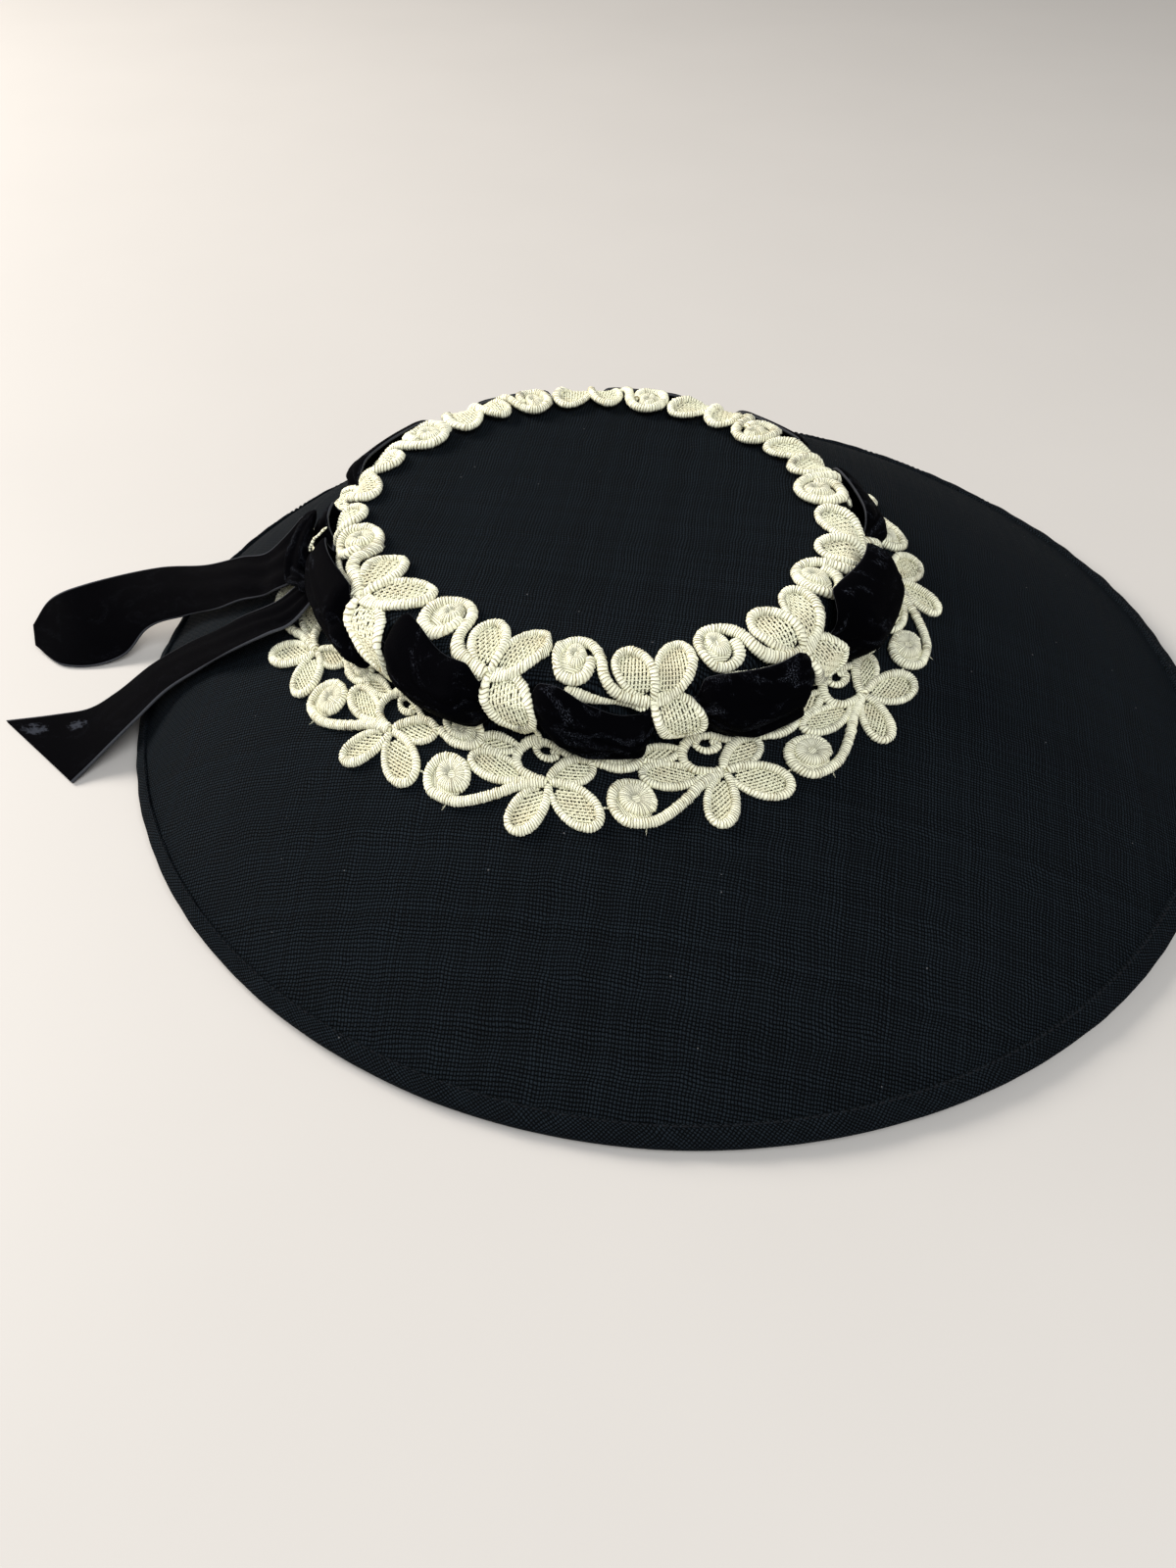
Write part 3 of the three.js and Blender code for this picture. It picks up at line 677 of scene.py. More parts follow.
def thread_material():
    """Black sewing thread with a twist; painted shade darkens it between its strands and painted highlight
    lightens the strands.
    """
    material, tree, shader = new_material("sewing_thread", {"Roughness": 0.8, "Specular IOR Level": 0.05})
    wrap = satin_wrap(tree, THREAD_TWIST)
    # Painted shade in the grooves of the twist and painted highlight on its strands.
    colour = mix_colour(tree, wrap["Height"], THREAD_SHADE, THREAD_HIGHLIGHT)
    tree.links.new(colour, shader.inputs["Base Color"])
    bump(tree, shader, wrap["Height"], strength=0.6, distance=0.0001)
    return material


# Lace: noise below which it is clean, colours in the grooves, darkened as painted shade, of the palest
# stitches and of yellowed patches, for satin and for net, then the net's share of the lace's colour and its
# twists to a millimetre
CLEAN = 0.42
SATIN_SHADE, SATIN_PALE, SATIN_YELLOW = (0.25, 0.19, 0.07), (0.96, 0.93, 0.76), (0.8, 0.7, 0.44)
NET_SHADE, NET_YELLOW = (0.2, 0.15, 0.06), (0.62, 0.5, 0.31)
NET_SHARE = 0.88
NET_TWIST = 1.7


def satin_material():
    """Ivory satin stitch: ridged across the cord, with painted shade that darkens the grooves to a dull
    cream.
    """
    colour = bpy.context.scene.hat_lace.colour
    material, tree, shader = new_material("satin_stitch", {"Specular IOR Level": 0.3, "Sheen Weight": 0.15})
    wrap = satin_wrap(tree, SATIN_STITCHES)
    lit_crest = smooth_ramp(tree, wrap["Height"], low=0.15, high=0.95)
    # Painted shade: the grooves between stitches are darkened towards a dull tan, and the crests keep the
    # lace's colour.
    ridged = mix_colour(tree, lit_crest, SATIN_SHADE, colour)
    toned = mix_colour(tree, math_node(tree, "MULTIPLY", wrap["Tone"], 0.3), ridged, SATIN_PALE)
    aged = yellowed(tree, toned, SATIN_YELLOW, scale=60, detail=3, strength=0.6)
    tree.links.new(aged, shader.inputs["Base Color"])
    tree.links.new(mix_number(tree, wrap["Tone"], 0.5, 0.75), shader.inputs["Roughness"])
    bump(tree, shader, wrap["Height"], strength=1.0, distance=0.0004)
    return material


def net_material():
    """Ivory net thread, twisted, a little darker than the satin, with painted shade in the grooves of its
    twist.
    """
    colour = scaled_colour(bpy.context.scene.hat_lace.colour, NET_SHARE)
    material, tree, shader = new_material("net_thread", {"Roughness": 0.75})
    wrap = satin_wrap(tree, NET_TWIST)
    lit_crest = smooth_ramp(tree, wrap["Height"], low=0.1, high=0.9)
    # Painted shade in the grooves of the net's twist.
    ridged = mix_colour(tree, lit_crest, NET_SHADE, colour)
    aged = yellowed(tree, ridged, NET_YELLOW, scale=90, detail=2, strength=1.1)
    tree.links.new(aged, shader.inputs["Base Color"])
    bump(tree, shader, wrap["Height"], strength=0.6, distance=0.00012)
    return material


# Worn spots of the lower tail: along in millimetres and across as a share, their half size, how far
# their edge frays, how bare they are
WORN_SPOTS = ((108, 0.3), (120, 0.2))
WORN_HALF = (4.2, 0.12)
FRAY = 3.4
WORN_STRENGTH = 0.55
# Share of the painted sheen on the smooth tails against the band's, its paler blue-grey colour, painted where
# the pile is pressed flat, and how far from the ribbon's middle the woven edge starts and is whole, in shares
# of its width
TAIL_SHEEN_SHARE = 0.12
CRUSHED_SHEEN = (0.05, 0.056, 0.072)
WOVEN_FROM, WOVEN_TO = 0.482, 0.49


def stretched_noise(tree, where, scale, **values):
    """Noise on the ribbon's UV map, stretched along it."""
    return noise(tree, mapped(tree, where, scale=(*scale, 1)), 1.0, **values)


def worn_spots(tree, where, place_on):
    """Places where the pile is worn off: high inside an ellipse round each spot, frayed by a noise."""
    threads = stretched_noise(tree, where, (0.55, 15), detail=4, roughness=0.7)
    fray = math_node(tree, "MULTIPLY", threads, FRAY)
    spots = []
    for centre in WORN_SPOTS:
        away = [
            math_node(tree, "DIVIDE", math_node(tree, "SUBTRACT", value, middle), half)
            for value, middle, half in zip(place_on, centre, WORN_HALF)
        ]
        square = math_node(tree, "ADD", *(math_node(tree, "MULTIPLY", x, x) for x in away))
        spots.append(smooth_ramp(tree, math_node(tree, "SUBTRACT", fray, square), low=1.05, high=1.75))
    return math_node(tree, "MULTIPLY", math_node(tree, "MAXIMUM", *spots), WORN_STRENGTH)


def velvet_material(name, sheen_share, worn=False):
    """Deep black pile, pressed flat here and there, where a paler blue-grey is painted in as its sheen, with
    woven edges on the ribbon.
    """
    settings = bpy.context.scene.hat_ribbon
    material, tree, shader = new_material(name, {
        "Roughness": 0.9, "Specular IOR Level": 0.02, "Sheen Weight": 0.002, "Sheen Roughness": 0.35,
        "Sheen Tint": (0.55, 0.62, 0.8, 1),
    })
    where = coordinates(tree, "UV")
    x, y, _ = split_vector(tree, where)
    pile = stretched_noise(tree, where, (2.4, 60), detail=4, roughness=0.65)
    patches = stretched_noise(tree, where, (0.1, 3.4), detail=3, distortion=1.6)
    beads = stretched_noise(tree, where, (3.0, 0), detail=1)
    flat = smooth_ramp(tree, patches, low=0.54, high=0.7)
    tips = smooth_ramp(tree, pile, low=0.5, high=0.68)
    # Painted sheen: where the pile is pressed flat, its colour is lightened to a blue-grey.
    sheen_and_wear = math_node(tree, "MULTIPLY", math_node(tree, "MULTIPLY", flat, tips), sheen_share)
    if worn:
        # Worn spots are real wear, painted in the same paler colour as the sheen.
        sheen_and_wear = math_node(tree, "MAXIMUM", sheen_and_wear, worn_spots(tree, where, (x, y)))
    colour = mix_colour(tree, sheen_and_wear, settings.colour, CRUSHED_SHEEN)
    edge = math_node(tree, "ABSOLUTE", math_node(tree, "SUBTRACT", y, 0.5))
    at_edge = smooth_ramp(tree, edge, WOVEN_FROM, WOVEN_TO)
    woven = math_node(tree, "MULTIPLY", at_edge, mix_number(tree, beads, 0.2, 1.3))
    tree.links.new(mix_colour(tree, woven, colour, settings.selvedge), shader.inputs["Base Color"])
    bump(tree, shader, pile, strength=0.5, distance=0.0003)
    return material


# Crown and brim

CROWN_AROUND = 240
BRIM_AROUND, BRIM_STEPS = 360, 56
# Share of the brim's span that its sheet covers
SHEET_SHARE = 0.992
TOP_WAVES = [(0.22, 2, 20), (0.16, 3, 110), (0.1, 5, 250)]
RIM_WAVES = [(0.5, 3, 200), (0.35, 5, 40), (0.25, 8, 310), (0.15, 13, 90)]
# Height over which the top's waves fade down the side, share of the brim where the rim's waves start,
# and their mean lift
WAVE_FADE = 20
RIM_WAVE_FROM = 0.25
RIM_WAVE_LIFT = 0.55


def crown_section():
    """Outer and inner profile of the crown: flat top, rounded edge, slightly spread side."""
    middle, shoulder = CROWN_TOP_RADIUS - CROWN_EDGE, CROWN_TOP_Z - CROWN_EDGE
    share, angle = np.linspace(0.04, 1, 22), np.linspace(0.12, math.pi / 2, 10)
    down = np.linspace(0.1, 1, 8)
    top = stacked(share * middle, CROWN_TOP_Z + CROWN_DOME * (1 - share**2))
    side = stacked(blend(CROWN_TOP_RADIUS, CROWN_FOOT_RADIUS, down), blend(shoulder, CROWN_FOOT_Z, down))
    round_out, round_in = (
        stacked(middle + radius * np.sin(angle), shoulder + radius * np.cos(angle))
        for radius in (CROWN_EDGE, CROWN_EDGE - CROWN_WALL)
    )
    inner = np.concatenate([top - (0, CROWN_WALL), round_in, side - (CROWN_WALL, 0)])
    return np.concatenate([top, round_out, side, inner[::-1]])


def crown_mesh():
    """The section turned about the crown's axis.

    The top waves a little, by sines of the angle that grow with the square of the radius.
    """
    section = crown_section()
    angle = full_turn(CROWN_AROUND)[None, :]
    r, z = section[:, :1], section[:, 1:]
    high = np.clip((z - CROWN_FOOT_Z) / WAVE_FADE, 0, 1)
    wave = ripple(angle, TOP_WAVES) * (r / CROWN_TOP_RADIUS) ** 2 * high
    points = stacked(CROWN_X + r * np.cos(angle), r * np.sin(angle), z + wave)
    quads = grid_faces(len(section), CROWN_AROUND, close_columns=True)
    top = CROWN_TOP_Z + CROWN_DOME
    poles = np.array([(CROWN_X, 0, top), (CROWN_X, 0, top - CROWN_WALL)])
    count = len(section) * CROWN_AROUND
    k = np.arange(CROWN_AROUND)
    after, last = (k + 1) % CROWN_AROUND, count - CROWN_AROUND
    fans = np.concatenate([stacked(count, k, after), stacked(count + 1, last + after, last + k)])
    return mesh_from("crown_cloth", np.concatenate([points.reshape(-1, 3), poles]), quads[:, ::-1], fans)


def brim_z(share):
    """The brim's fall: a straight part and a drooping part."""
    return BRIM_ROOT_Z - BRIM_FALL * share - BRIM_DROOP * share**2


def rim_wave(deg, share):
    """Unevenness of the brim, zero at the crown; it only lifts the rim, never lowers it."""
    wave = ripple(deg * DEG, RIM_WAVES)
    return rises(share, RIM_WAVE_FROM, 1 - RIM_WAVE_FROM) * np.maximum(0, RIM_WAVE_LIFT + wave)


def brim_mesh():
    """Upper and under side of the brim as one closed section carried round the crown.

    The upper side is the brim's fall, the under side lies one wall below it along the normal.
    """
    share = np.linspace(0, SHEET_SHARE, BRIM_STEPS)
    slope = -(BRIM_FALL + 2 * BRIM_DROOP * share) / BRIM_SPAN
    size = np.hypot(1, slope)
    r = BRIM_INNER_RADIUS + share * BRIM_SPAN
    top = np.stack([r, brim_z(share)], axis=-1)
    under = np.stack([r + BRIM_WALL * slope / size, brim_z(share) - BRIM_WALL / size], axis=-1)
    section = np.concatenate([top, under[::-1]])
    deg = np.linspace(0, 360, BRIM_AROUND, endpoint=False)[None, :]
    v = np.concatenate([share, share[::-1]])[:, None]
    points = place(deg, section[:, :1], section[:, 1:] + rim_wave(deg, v), v)
    quads = grid_faces(len(section), BRIM_AROUND, close_rows=True, close_columns=True)
    return mesh_from("brim_cloth", points, quads[:, ::-1])


# Binding section, radius and height, from the seam over the edge to the lip below
BINDING_ROWS = [
    (184.9, 6.55), (185.2, 7.05), (186.1, 6.95), (187.6, 6.05), (189.1, 4.75), (190, 3.3), (189.7, 1.7),
    (188.6, 0.35), (187.4, 0), (186.1, 0.3), (184.4, 1.6), (182.9, 2.9), (182.6, 3.55), (183.3, 3.85),
]
BINDING_AROUND, BINDING_STEPS = 900, 33
BINDING_WIDTH = 24
PUCKER_WAVES = [(0.1, 97, 0), (0.08, 61, 80), (0.1, 41, 200), (0.12, 23, 20)]
# The binding is loose above this height, fully so after the span; then its rise against its pucker
PUCKER_FROM, PUCKER_SPAN, PUCKER_RISE = 1, 4, 0.6
# Seam stitches: radius and height of the seam, radius of the thread, dip of its ends, half a stitch as a
# share of the pitch, where its ends are cut off, half its texture's length, rings and sides
SEAM_R, SEAM_Z = 185.75, 7.05
STITCH_RADIUS = 0.3
STITCH_DIP = 0.3
STITCH_FILL = 0.4
STITCH_END = 0.98
STITCH_TEXTURE = 1.1
STITCH_RINGS, STITCH_SIDES = 7, 6


def binding_mesh():
    """A rounded section carried round the rim; it puckers between stitches, by sines along the edge."""
    rows = np.array(BINDING_ROWS)
    section = spline(np.concatenate([rows, rows[:1]]), BINDING_STEPS)[:-1]
    deg = np.linspace(0, 360, BINDING_AROUND, endpoint=False)[None, :]
    r, z = section[:, :1], section[:, 1:]
    share = brim_share(r)
    pucker = ripple(deg * DEG, PUCKER_WAVES)
    loose = pucker * np.clip((z - PUCKER_FROM) / PUCKER_SPAN, 0, 1)
    points = place(deg, r + loose, z + rim_wave(deg, share) + PUCKER_RISE * loose, share)
    across = np.linspace(0, BINDING_WIDTH, len(section))[:, None]
    uv = stacked(deg * DEG * RIM_RADIUS, np.abs(across - BINDING_WIDTH / 2))
    quads = grid_faces(len(section), BINDING_AROUND, close_rows=True, close_columns=True)
    return mesh_from("brim_binding_cloth", points, quads[:, ::-1], uv=uv)


def stitch_mesh(pitch):
    """Running stitches along the binding's seam: capsules of radius r sqrt(1-u^4) that dip at both ends."""
    count = int(2 * math.pi * RIM_RADIUS / pitch)
    number = np.arange(count)[:, None, None]
    u = np.linspace(-STITCH_END, STITCH_END, STITCH_RINGS)[None, :, None]
    turn = full_turn(STITCH_SIDES)[None, None, :]
    radius = STITCH_RADIUS * np.sqrt(1 - u**4)
    deg = number * 360 / count + u * STITCH_FILL * 360 / count
    r = SEAM_R + radius * np.cos(turn)
    z = SEAM_Z - STITCH_DIP * u**2 + radius * np.sin(turn)
    share = brim_share(r)
    points = place(deg, r, z + rim_wave(deg, share), share)
    first = number * STITCH_RINGS * STITCH_SIDES
    quads = grid_faces(STITCH_RINGS, STITCH_SIDES, close_columns=True) + first
    caps = ring_caps(STITCH_RINGS, STITCH_SIDES) + first
    uv = np.tile(stacked(u * STITCH_TEXTURE, 0.5 + 0.5 * np.cos(turn)).reshape(-1, 2), (count, 1))
    return mesh_from("brim_stitches", points, quads, caps, uv)


# Lace, drawn flat on the unrolled band in degrees of the repeat and millimetres down it

# How deep the lace sits in the cloth
LACE_BASE = -0.35
# Leaf over the ribbon: rise, place and half width in degrees, start, end and slope along the section
BRIDGE_RISE = 6.4
BRIDGE_AT, BRIDGE_HALF, BRIDGE_FADE = -6.4, 9.5, 2.5
BRIDGE_FROM, BRIDGE_TO, BRIDGE_SLOPE = 29.5, 45, 6
# Upper row at the back: rise, start, end and slope in degrees, end and slope along the section
BACK_RISE = 1.4
BACK_FROM, BACK_TO, BACK_FADE = 125, 280, 22
BACK_END, BACK_SLOPE = 34, 10
# Lace under the ribbon's lower edge: places along the section, share of its height that is left
PRESSED_AT, PRESSED = (43, 46, 51, 55), (1, 0.78, 0.78, 1)
# Cords: length of a stitch, how much larger every other ring is, unevenness, smallest share at an end
STITCH_STEP = 0.45
RIB = 0.075
UNEVEN = 0.05
BLUNT = 0.25
# Shift of the stitches from one repeat to the next
REPEAT_SHIFT = 0.37


def bridge_share(nominal):
    """1 on the leaf that crosses the ribbon, 0 away from it; there is none at the join."""
    turns = (nominal - BRIDGE_AT) / PERIOD
    away = np.abs(turns - np.round(turns)) * PERIOD
    return np.where(np.round(turns) % REPEATS == JOIN, 0, falls(away, BRIDGE_HALF, BRIDGE_FADE))


def back_share(nominal):
    """1 on the back of the crown, where the ribbon pushes the lace's upper row up, 0 in front."""
    turn = np.mod(nominal, 360)
    return rises(turn, BACK_FROM, BACK_FADE) * falls(turn, BACK_TO, BACK_FADE)


def lace_point(nominal, t, h):
    """Lays a flat lace point on the hat; leaves over the ribbon climb, and what it covers is pressed flat."""
    over = BRIDGE_RISE * rises(t, BRIDGE_FROM, BRIDGE_SLOPE) * falls(t, BRIDGE_TO, BRIDGE_SLOPE)
    climb = over * bridge_share(nominal) + BACK_RISE * back_share(nominal) * falls(t, BACK_END, BACK_SLOPE)
    press = np.interp(t, PRESSED_AT, PRESSED)
    return on_hat(around_at(nominal, t), down_at(nominal, t), LACE_BASE + climb + press * h)


class Strand:
    """A tube or dome in flat lace coordinates.

    Its grid holds rings of points: nominal degrees, t, height and texture place. Where is "all"
    repeats, "whole" ones only, the "join" only, or "real" for one strand in real degrees.
    """

    def __init__(self, s, t, h, along, side, where="all"):
        self.grid = [np.asarray(a, float) for a in np.broadcast_arrays(s, t, h, along, side)]
        self.where = where


REPEATS_AT = {
    "all": np.arange(REPEATS),
    "whole": np.arange(JOIN),
    "join": np.array([JOIN]),
    "real": np.array([0]),
}


def cord(path, radius, rng, sides=8, rise=0.0, flat=0.9, where="all", rib=RIB):
    """A cord along a flat path of (degrees, t).

    Ring i is an ellipse, as wide as the radius across the path and flat times that in height. Every
    other ring is larger, for the stitches, each is uneven, and the cord closes in a half round at both ends.
    """
    path = np.asarray(path, float)
    scale = mm_per_degree(path[:, 1])
    step = np.gradient(path, axis=0)
    size = np.hypot(step[:, 0] * scale, step[:, 1])
    steps = np.hypot(np.diff(path[:, 0]) * scale[1:], np.diff(path[:, 1]))
    along = np.concatenate([[0], np.cumsum(steps)])
    ends = np.minimum(along, along[-1] - along)
    radius, rise = np.broadcast_to(radius, ends.shape), np.broadcast_to(rise, ends.shape)
    ends = np.clip(ends / radius, 0, 1)
    taper = np.maximum(BLUNT, np.sqrt(1 - (1 - ends) ** 2))
    stitch = rib * np.cos(math.pi * np.arange(len(path))) + UNEVEN * rng.standard_normal(len(path))
    ring = radius * taper * (1 + stitch)
    turn = full_turn(sides)
    across = ring[:, None] * np.cos(turn)
    s = path[:, :1] - (step[:, 1] / size / scale)[:, None] * across
    t = path[:, 1:] + (step[:, 0] * scale / size)[:, None] * across
    h = (radius * flat + rise)[:, None] + flat * ring[:, None] * np.sin(turn)
    return Strand(s, t, h, along[:, None], (0.5 + 0.5 * np.cos(turn))[None, :], where)


def path_length(points):
    """Rough length in millimetres of a flat path."""
    points = np.asarray(points, float)
    scale = mm_per_degree(points[:-1, 1])
    return np.hypot(np.diff(points[:, 0]) * scale, np.diff(points[:, 1])).sum()


def even_path(points):
    """Spline through flat points, sampled once for each stitch."""
    points = np.asarray(points, float)
    scale = mm_per_degree(points[:, 1].mean())
    flat = points * (scale, 1)
    return spline(flat, max(4, int(path_length(points) / STITCH_STEP))) / (scale, 1)


# Leaves of one repeat: base, tip, half width, lean of the net's rows, cord's width on either side
LEAF_ROWS = {
    "upper left": ((-11.8, 30.4), (-17.2, 13.8), 6.7, 35, (1.0, 0.75)),
    "upper right": ((-11.2, 30.4), (-1.2, 14.0), 7.0, -30, (1.0, 0.75)),
    "bridge": ((-11.4, 30.0), (-1.0, 41.0), 7.2, 40, (1.0, 0.75)),
    "join": ((-2.1, 31.4), (-6.9, 16.8), 6.6, -30, (1.0, 0.8)),
    "lower top": ((0.2, 57.4), (9.8, 50.0), 5.3, 25, (0.7, 1.0)),
    "lower right": ((0.3, 58.2), (8.5, 70.4), 7.3, -35, (0.85, 1.0)),
    "lower left": ((-0.1, 58.2), (-6.8, 75.0), 5.9, 30, (0.8, 1.0)),
    "side": ((-3.6, 56.8), (-15.7, 54.6), 5.8, 20, (0.8, 0.9)),
    "side top": ((-5.2, 47.8), (-14.6, 48.6), 4.0, -20, (0.75, 0.75)),
}
LEAF_WHERE = {"upper left": "whole", "upper right": "whole", "bridge": "whole", "join": "join"}
# Leaves whose nets make up each piece
NET_LEAVES = {
    "lace_upper_net": tuple(LEAF_WHERE),
    "lace_brim_net": ("lower top", "lower right", "lower left"),
    "lace_side_net": ("side", "side top"),
}
# Largest value of sin a sqrt(sin(a/2))
TEARDROP = 0.887
# Rim of a leaf: gap at its root in radians, samples, where its width goes over, width at the root
LEAF_GAP, LEAF_SAMPLES = 0.02, 26
WIDTH_FROM, WIDTH_SPAN = 0.4, 0.2
ROOT_WIDTH = 0.72
# Radius of a leaf's cord and of what its net leaves free, as shares of a plain cord's
LEAF_CORD = 0.97
NET_CORD = 0.85
# Share of the radius by which the net reaches under the cord
NET_INSET = 0.7
# The two sets of net threads: turn in degrees, spacing in pitches, phase of the weave, radius
NET_SETS = ((0, 1, 0, 0.4), (82, 1.15, math.pi, 0.25))
# Rows of a net: reach from its middle, samples, fewest in a row, place of the middle and start as shares
# of the leaf, least half width that the dish counts with
NET_REACH, NET_SAMPLES, NET_FEWEST = 14, 113, 6
NET_MIDDLE, NET_START = 0.58, 0.14
DISH_LEAST = 0.4
# Threads of a net: unevenness of the rows, height of the weave, of the net's middle and of its dish, rib
NET_UNEVEN = 0.12
NET_WAVE = 0.2
NET_LOWEST, NET_DISH = 0.15, 0.85
NET_RIB = 0.1


def leaf_frame(base, tip):
    """Base, unit vectors along and across in millimetres, length, and millimetres per degree."""
    scale = mm_per_degree((base[1] + tip[1]) / 2)
    axis = np.array([(tip[0] - base[0]) * scale, tip[1] - base[1]])
    length = np.hypot(*axis)
    axis = axis / length
    return np.array(base), axis, np.array([-axis[1], axis[0]]), length, scale


def leaf_outline(length, half, angle):
    """Teardrop: along = L(1-cos a)/2, across = half sin a sqrt(sin(a/2)), scaled to the half width."""
    across = np.sin(angle) * np.sqrt(np.abs(np.sin(angle / 2)))
    return length * (1 - np.cos(angle)) / 2, half * across / TEARDROP


def leaf_point(setting, along, across):
    """Flat place of a point given along and across the leaf."""
    base, axis, side, _, scale = setting
    x = along * axis[0] + across * side[0]
    y = along * axis[1] + across * side[1]
    return np.stack([base[0] + x / scale, base[1] + y], axis=-1)


def leaf_cord(row, radius, rng, where):
    """The cord round a leaf, half its width inside the outline.

    Its width goes over from one side's to the other's by a soft step at the tip.
    """
    base, tip, half, _, widths = row
    setting = leaf_frame(base, tip)
    angle = np.linspace(LEAF_GAP, 2 * math.pi - LEAF_GAP, LEAF_SAMPLES)
    along, across = leaf_outline(setting[3] - radius, half - radius, angle)
    path = even_path(leaf_point(setting, along, across))
    share = np.linspace(0, 1, len(path))
    width = blend(*widths, rises(share, WIDTH_FROM, WIDTH_SPAN))
    width = width * blend(ROOT_WIDTH, 1, np.sin(math.pi * share) ** 0.5)
    return cord(path, radius * width, rng, where=where)


def inside_half(length, half, along):
    """Half width of the teardrop at a distance along it."""
    angle = np.arccos(np.clip(1 - 2 * along / length, -1, 1))
    return leaf_outline(length, half, angle)[1]


def leaf_net(row, radius, pitch, rng, where):
    """Two crossing sets of threads that fill a leaf.

    Each thread is a straight row cut off at the leaf's outline. It waves over and under the other
    set by a cosine of the distance along it, and the net sags below the cord like a shallow dish.
    """
    base, tip, half, lean, _ = row
    setting = leaf_frame(base, tip)
    length, inner = setting[3] - radius, half - radius * NET_INSET
    run = np.linspace(-NET_REACH, NET_REACH, NET_SAMPLES)
    strands = []
    for cross, wider, phase, thick in NET_SETS:
        way = (lean + cross) * DEG
        direction = np.array([math.cos(way), math.sin(way)])
        for k, offset in enumerate(np.arange(-NET_REACH, NET_REACH + 0.01, pitch * wider)):
            shifted = offset + NET_UNEVEN * rng.standard_normal()
            along = length * NET_MIDDLE + run * direction[0] - shifted * direction[1]
            across = run * direction[1] + offset * direction[0]
            within = np.abs(across) < inside_half(length, inner, along)
            within &= (along > NET_START * length) & (along < length)
            if within.sum() < NET_FEWEST:
                continue
            first, last = np.flatnonzero(within)[[0, -1]]
            count = max(4, int((run[last] - run[first]) / (0.5 * pitch)))
            cut = np.linspace(run[first], run[last], count)
            along, across = np.interp(cut, run, along), np.interp(cut, run, across)
            path = leaf_point(setting, along, across)
            limit = np.maximum(DISH_LEAST, inside_half(length, inner, along))
            dish = np.clip((across / limit) ** 2, 0, 1)
            wave = NET_WAVE * np.cos(math.pi * cut / pitch + math.pi * k + phase)
            strand = cord(path, thick, rng, sides=4, flat=1.0, where=where, rib=NET_RIB)
            strand.grid[2] = strand.grid[2] + (NET_LOWEST + NET_DISH * dish + wave)[:, None]
            strands.append(strand)
    return strands


# Rings of a button from its middle outwards, as shares of its size, and points in a ring
BUTTON_RINGS = np.array([0.0, 0.18, 0.24, 0.34, 0.46, 0.6, 0.74, 0.86, 0.95, 1.0, 1.0])
BUTTON_SIDES = 26
# Height of the foot as a share, smallest ring, where the coil's crest lies and its half width
COIL_FOOT, FLAT_FOOT = 0.5, 0.3
SMALLEST_RING = 0.02
COIL_CREST, COIL_HALF = 0.6, 0.4
# Stitches of a flat button against a coil's
FLAT_STITCHES = 1.5


def button(centre, wide, tall, high, start, radial, where):
    """Padded middle of a scroll.

    A flat one is an ellipse of height high (1-u^4)^(1/2), a radial one a coil of height
    high (1-v^2)^(1/2), where v runs from its inner to its outer side. Both stand on a foot. A coil's
    stitches are counted from the far side to both sides of the start, a flat one's lie straight across.
    """
    u = BUTTON_RINGS[::-1, None]
    rounded = np.maximum(1 - ((u - COIL_CREST) / COIL_HALF) ** 2, 0) if radial else 1 - u**4
    foot = COIL_FOOT if radial else FLAT_FOOT
    lift = high * (foot + (1 - foot) * np.sqrt(rounded))
    lift[0] = 0
    turn = full_turn(BUTTON_SIDES)[None, :]
    radius = np.maximum(u, SMALLEST_RING)
    x = wide * radius * np.cos(turn + start * DEG)
    y = tall * radius * np.sin(turn + start * DEG)
    straight = FLAT_STITCHES * (x * math.cos(start * DEG) + y * math.sin(start * DEG))
    along = 0.5 * (wide + tall) * np.abs(turn - math.pi) if radial else straight
    return Strand(centre[0] + x / mm_per_degree(centre[1]), centre[1] + y, lift, along, 0.5, where)


# Padded middles of the scrolls: centre, half width, half height, height, start and kind of stitches, where
BUTTON_ROWS = {
    "upper": [
        ((-26.8, 16.8), 3.1, 4.6, 2.9, 12, True, "whole"),
        ((-27.6, 17.0), 4.6, 6.0, 1.6, 100, False, "whole"),
        ((-26.8, 16.8), 1.5, 2.0, 2.0, 12, False, "whole"),
    ],
    "lower": [
        ((-17.6, 62.7), 5.6, 5.3, 3.2, 70, True, "all"), ((-18.4, 63.9), 6.0, 6.0, 1.6, 160, False, "all"),
        ((-17.6, 62.7), 2.6, 2.4, 2.2, 80, False, "all"), ((14.6, 47.0), 1.8, 1.7, 1.8, 40, False, "all"),
        ((14.6, 47.0), 3.9, 3.8, 2.6, 40, True, "all"), ((14.8, 47.0), 5.0, 4.8, 1.5, 130, False, "all"),
    ],
}
SCROLL_POINTS = [
    (-23.8, 17.1), (-23.6, 20), (-24.5, 23.2), (-26.8, 24.6), (-29.4, 23.5), (-31, 19.5), (-30.5, 14.7),
    (-28.6, 11.7), (-26.1, 10.9), (-23.8, 12), (-22.1, 15), (-21.3, 19), (-20.8, 23), (-19.6, 26),
    (-17.2, 28.5), (-14.6, 29.7), (-11.9, 30.3),
]
BRIM_SCROLL_POINTS = [
    (-0.3, 58), (-3.8, 59.5), (-6.2, 61.2), (-8.3, 63.5), (-10.8, 66), (-13.2, 68.2), (-15.9, 70),
    (-18.3, 70.2), (-20.8, 69), (-21.8, 66), (-21.8, 62.5), (-21, 59.7), (-19.4, 57.7), (-17.3, 57.5),
    (-15.6, 58.7), (-14.9, 61.5), (-15.2, 64.5), (-16.2, 66.6),
]
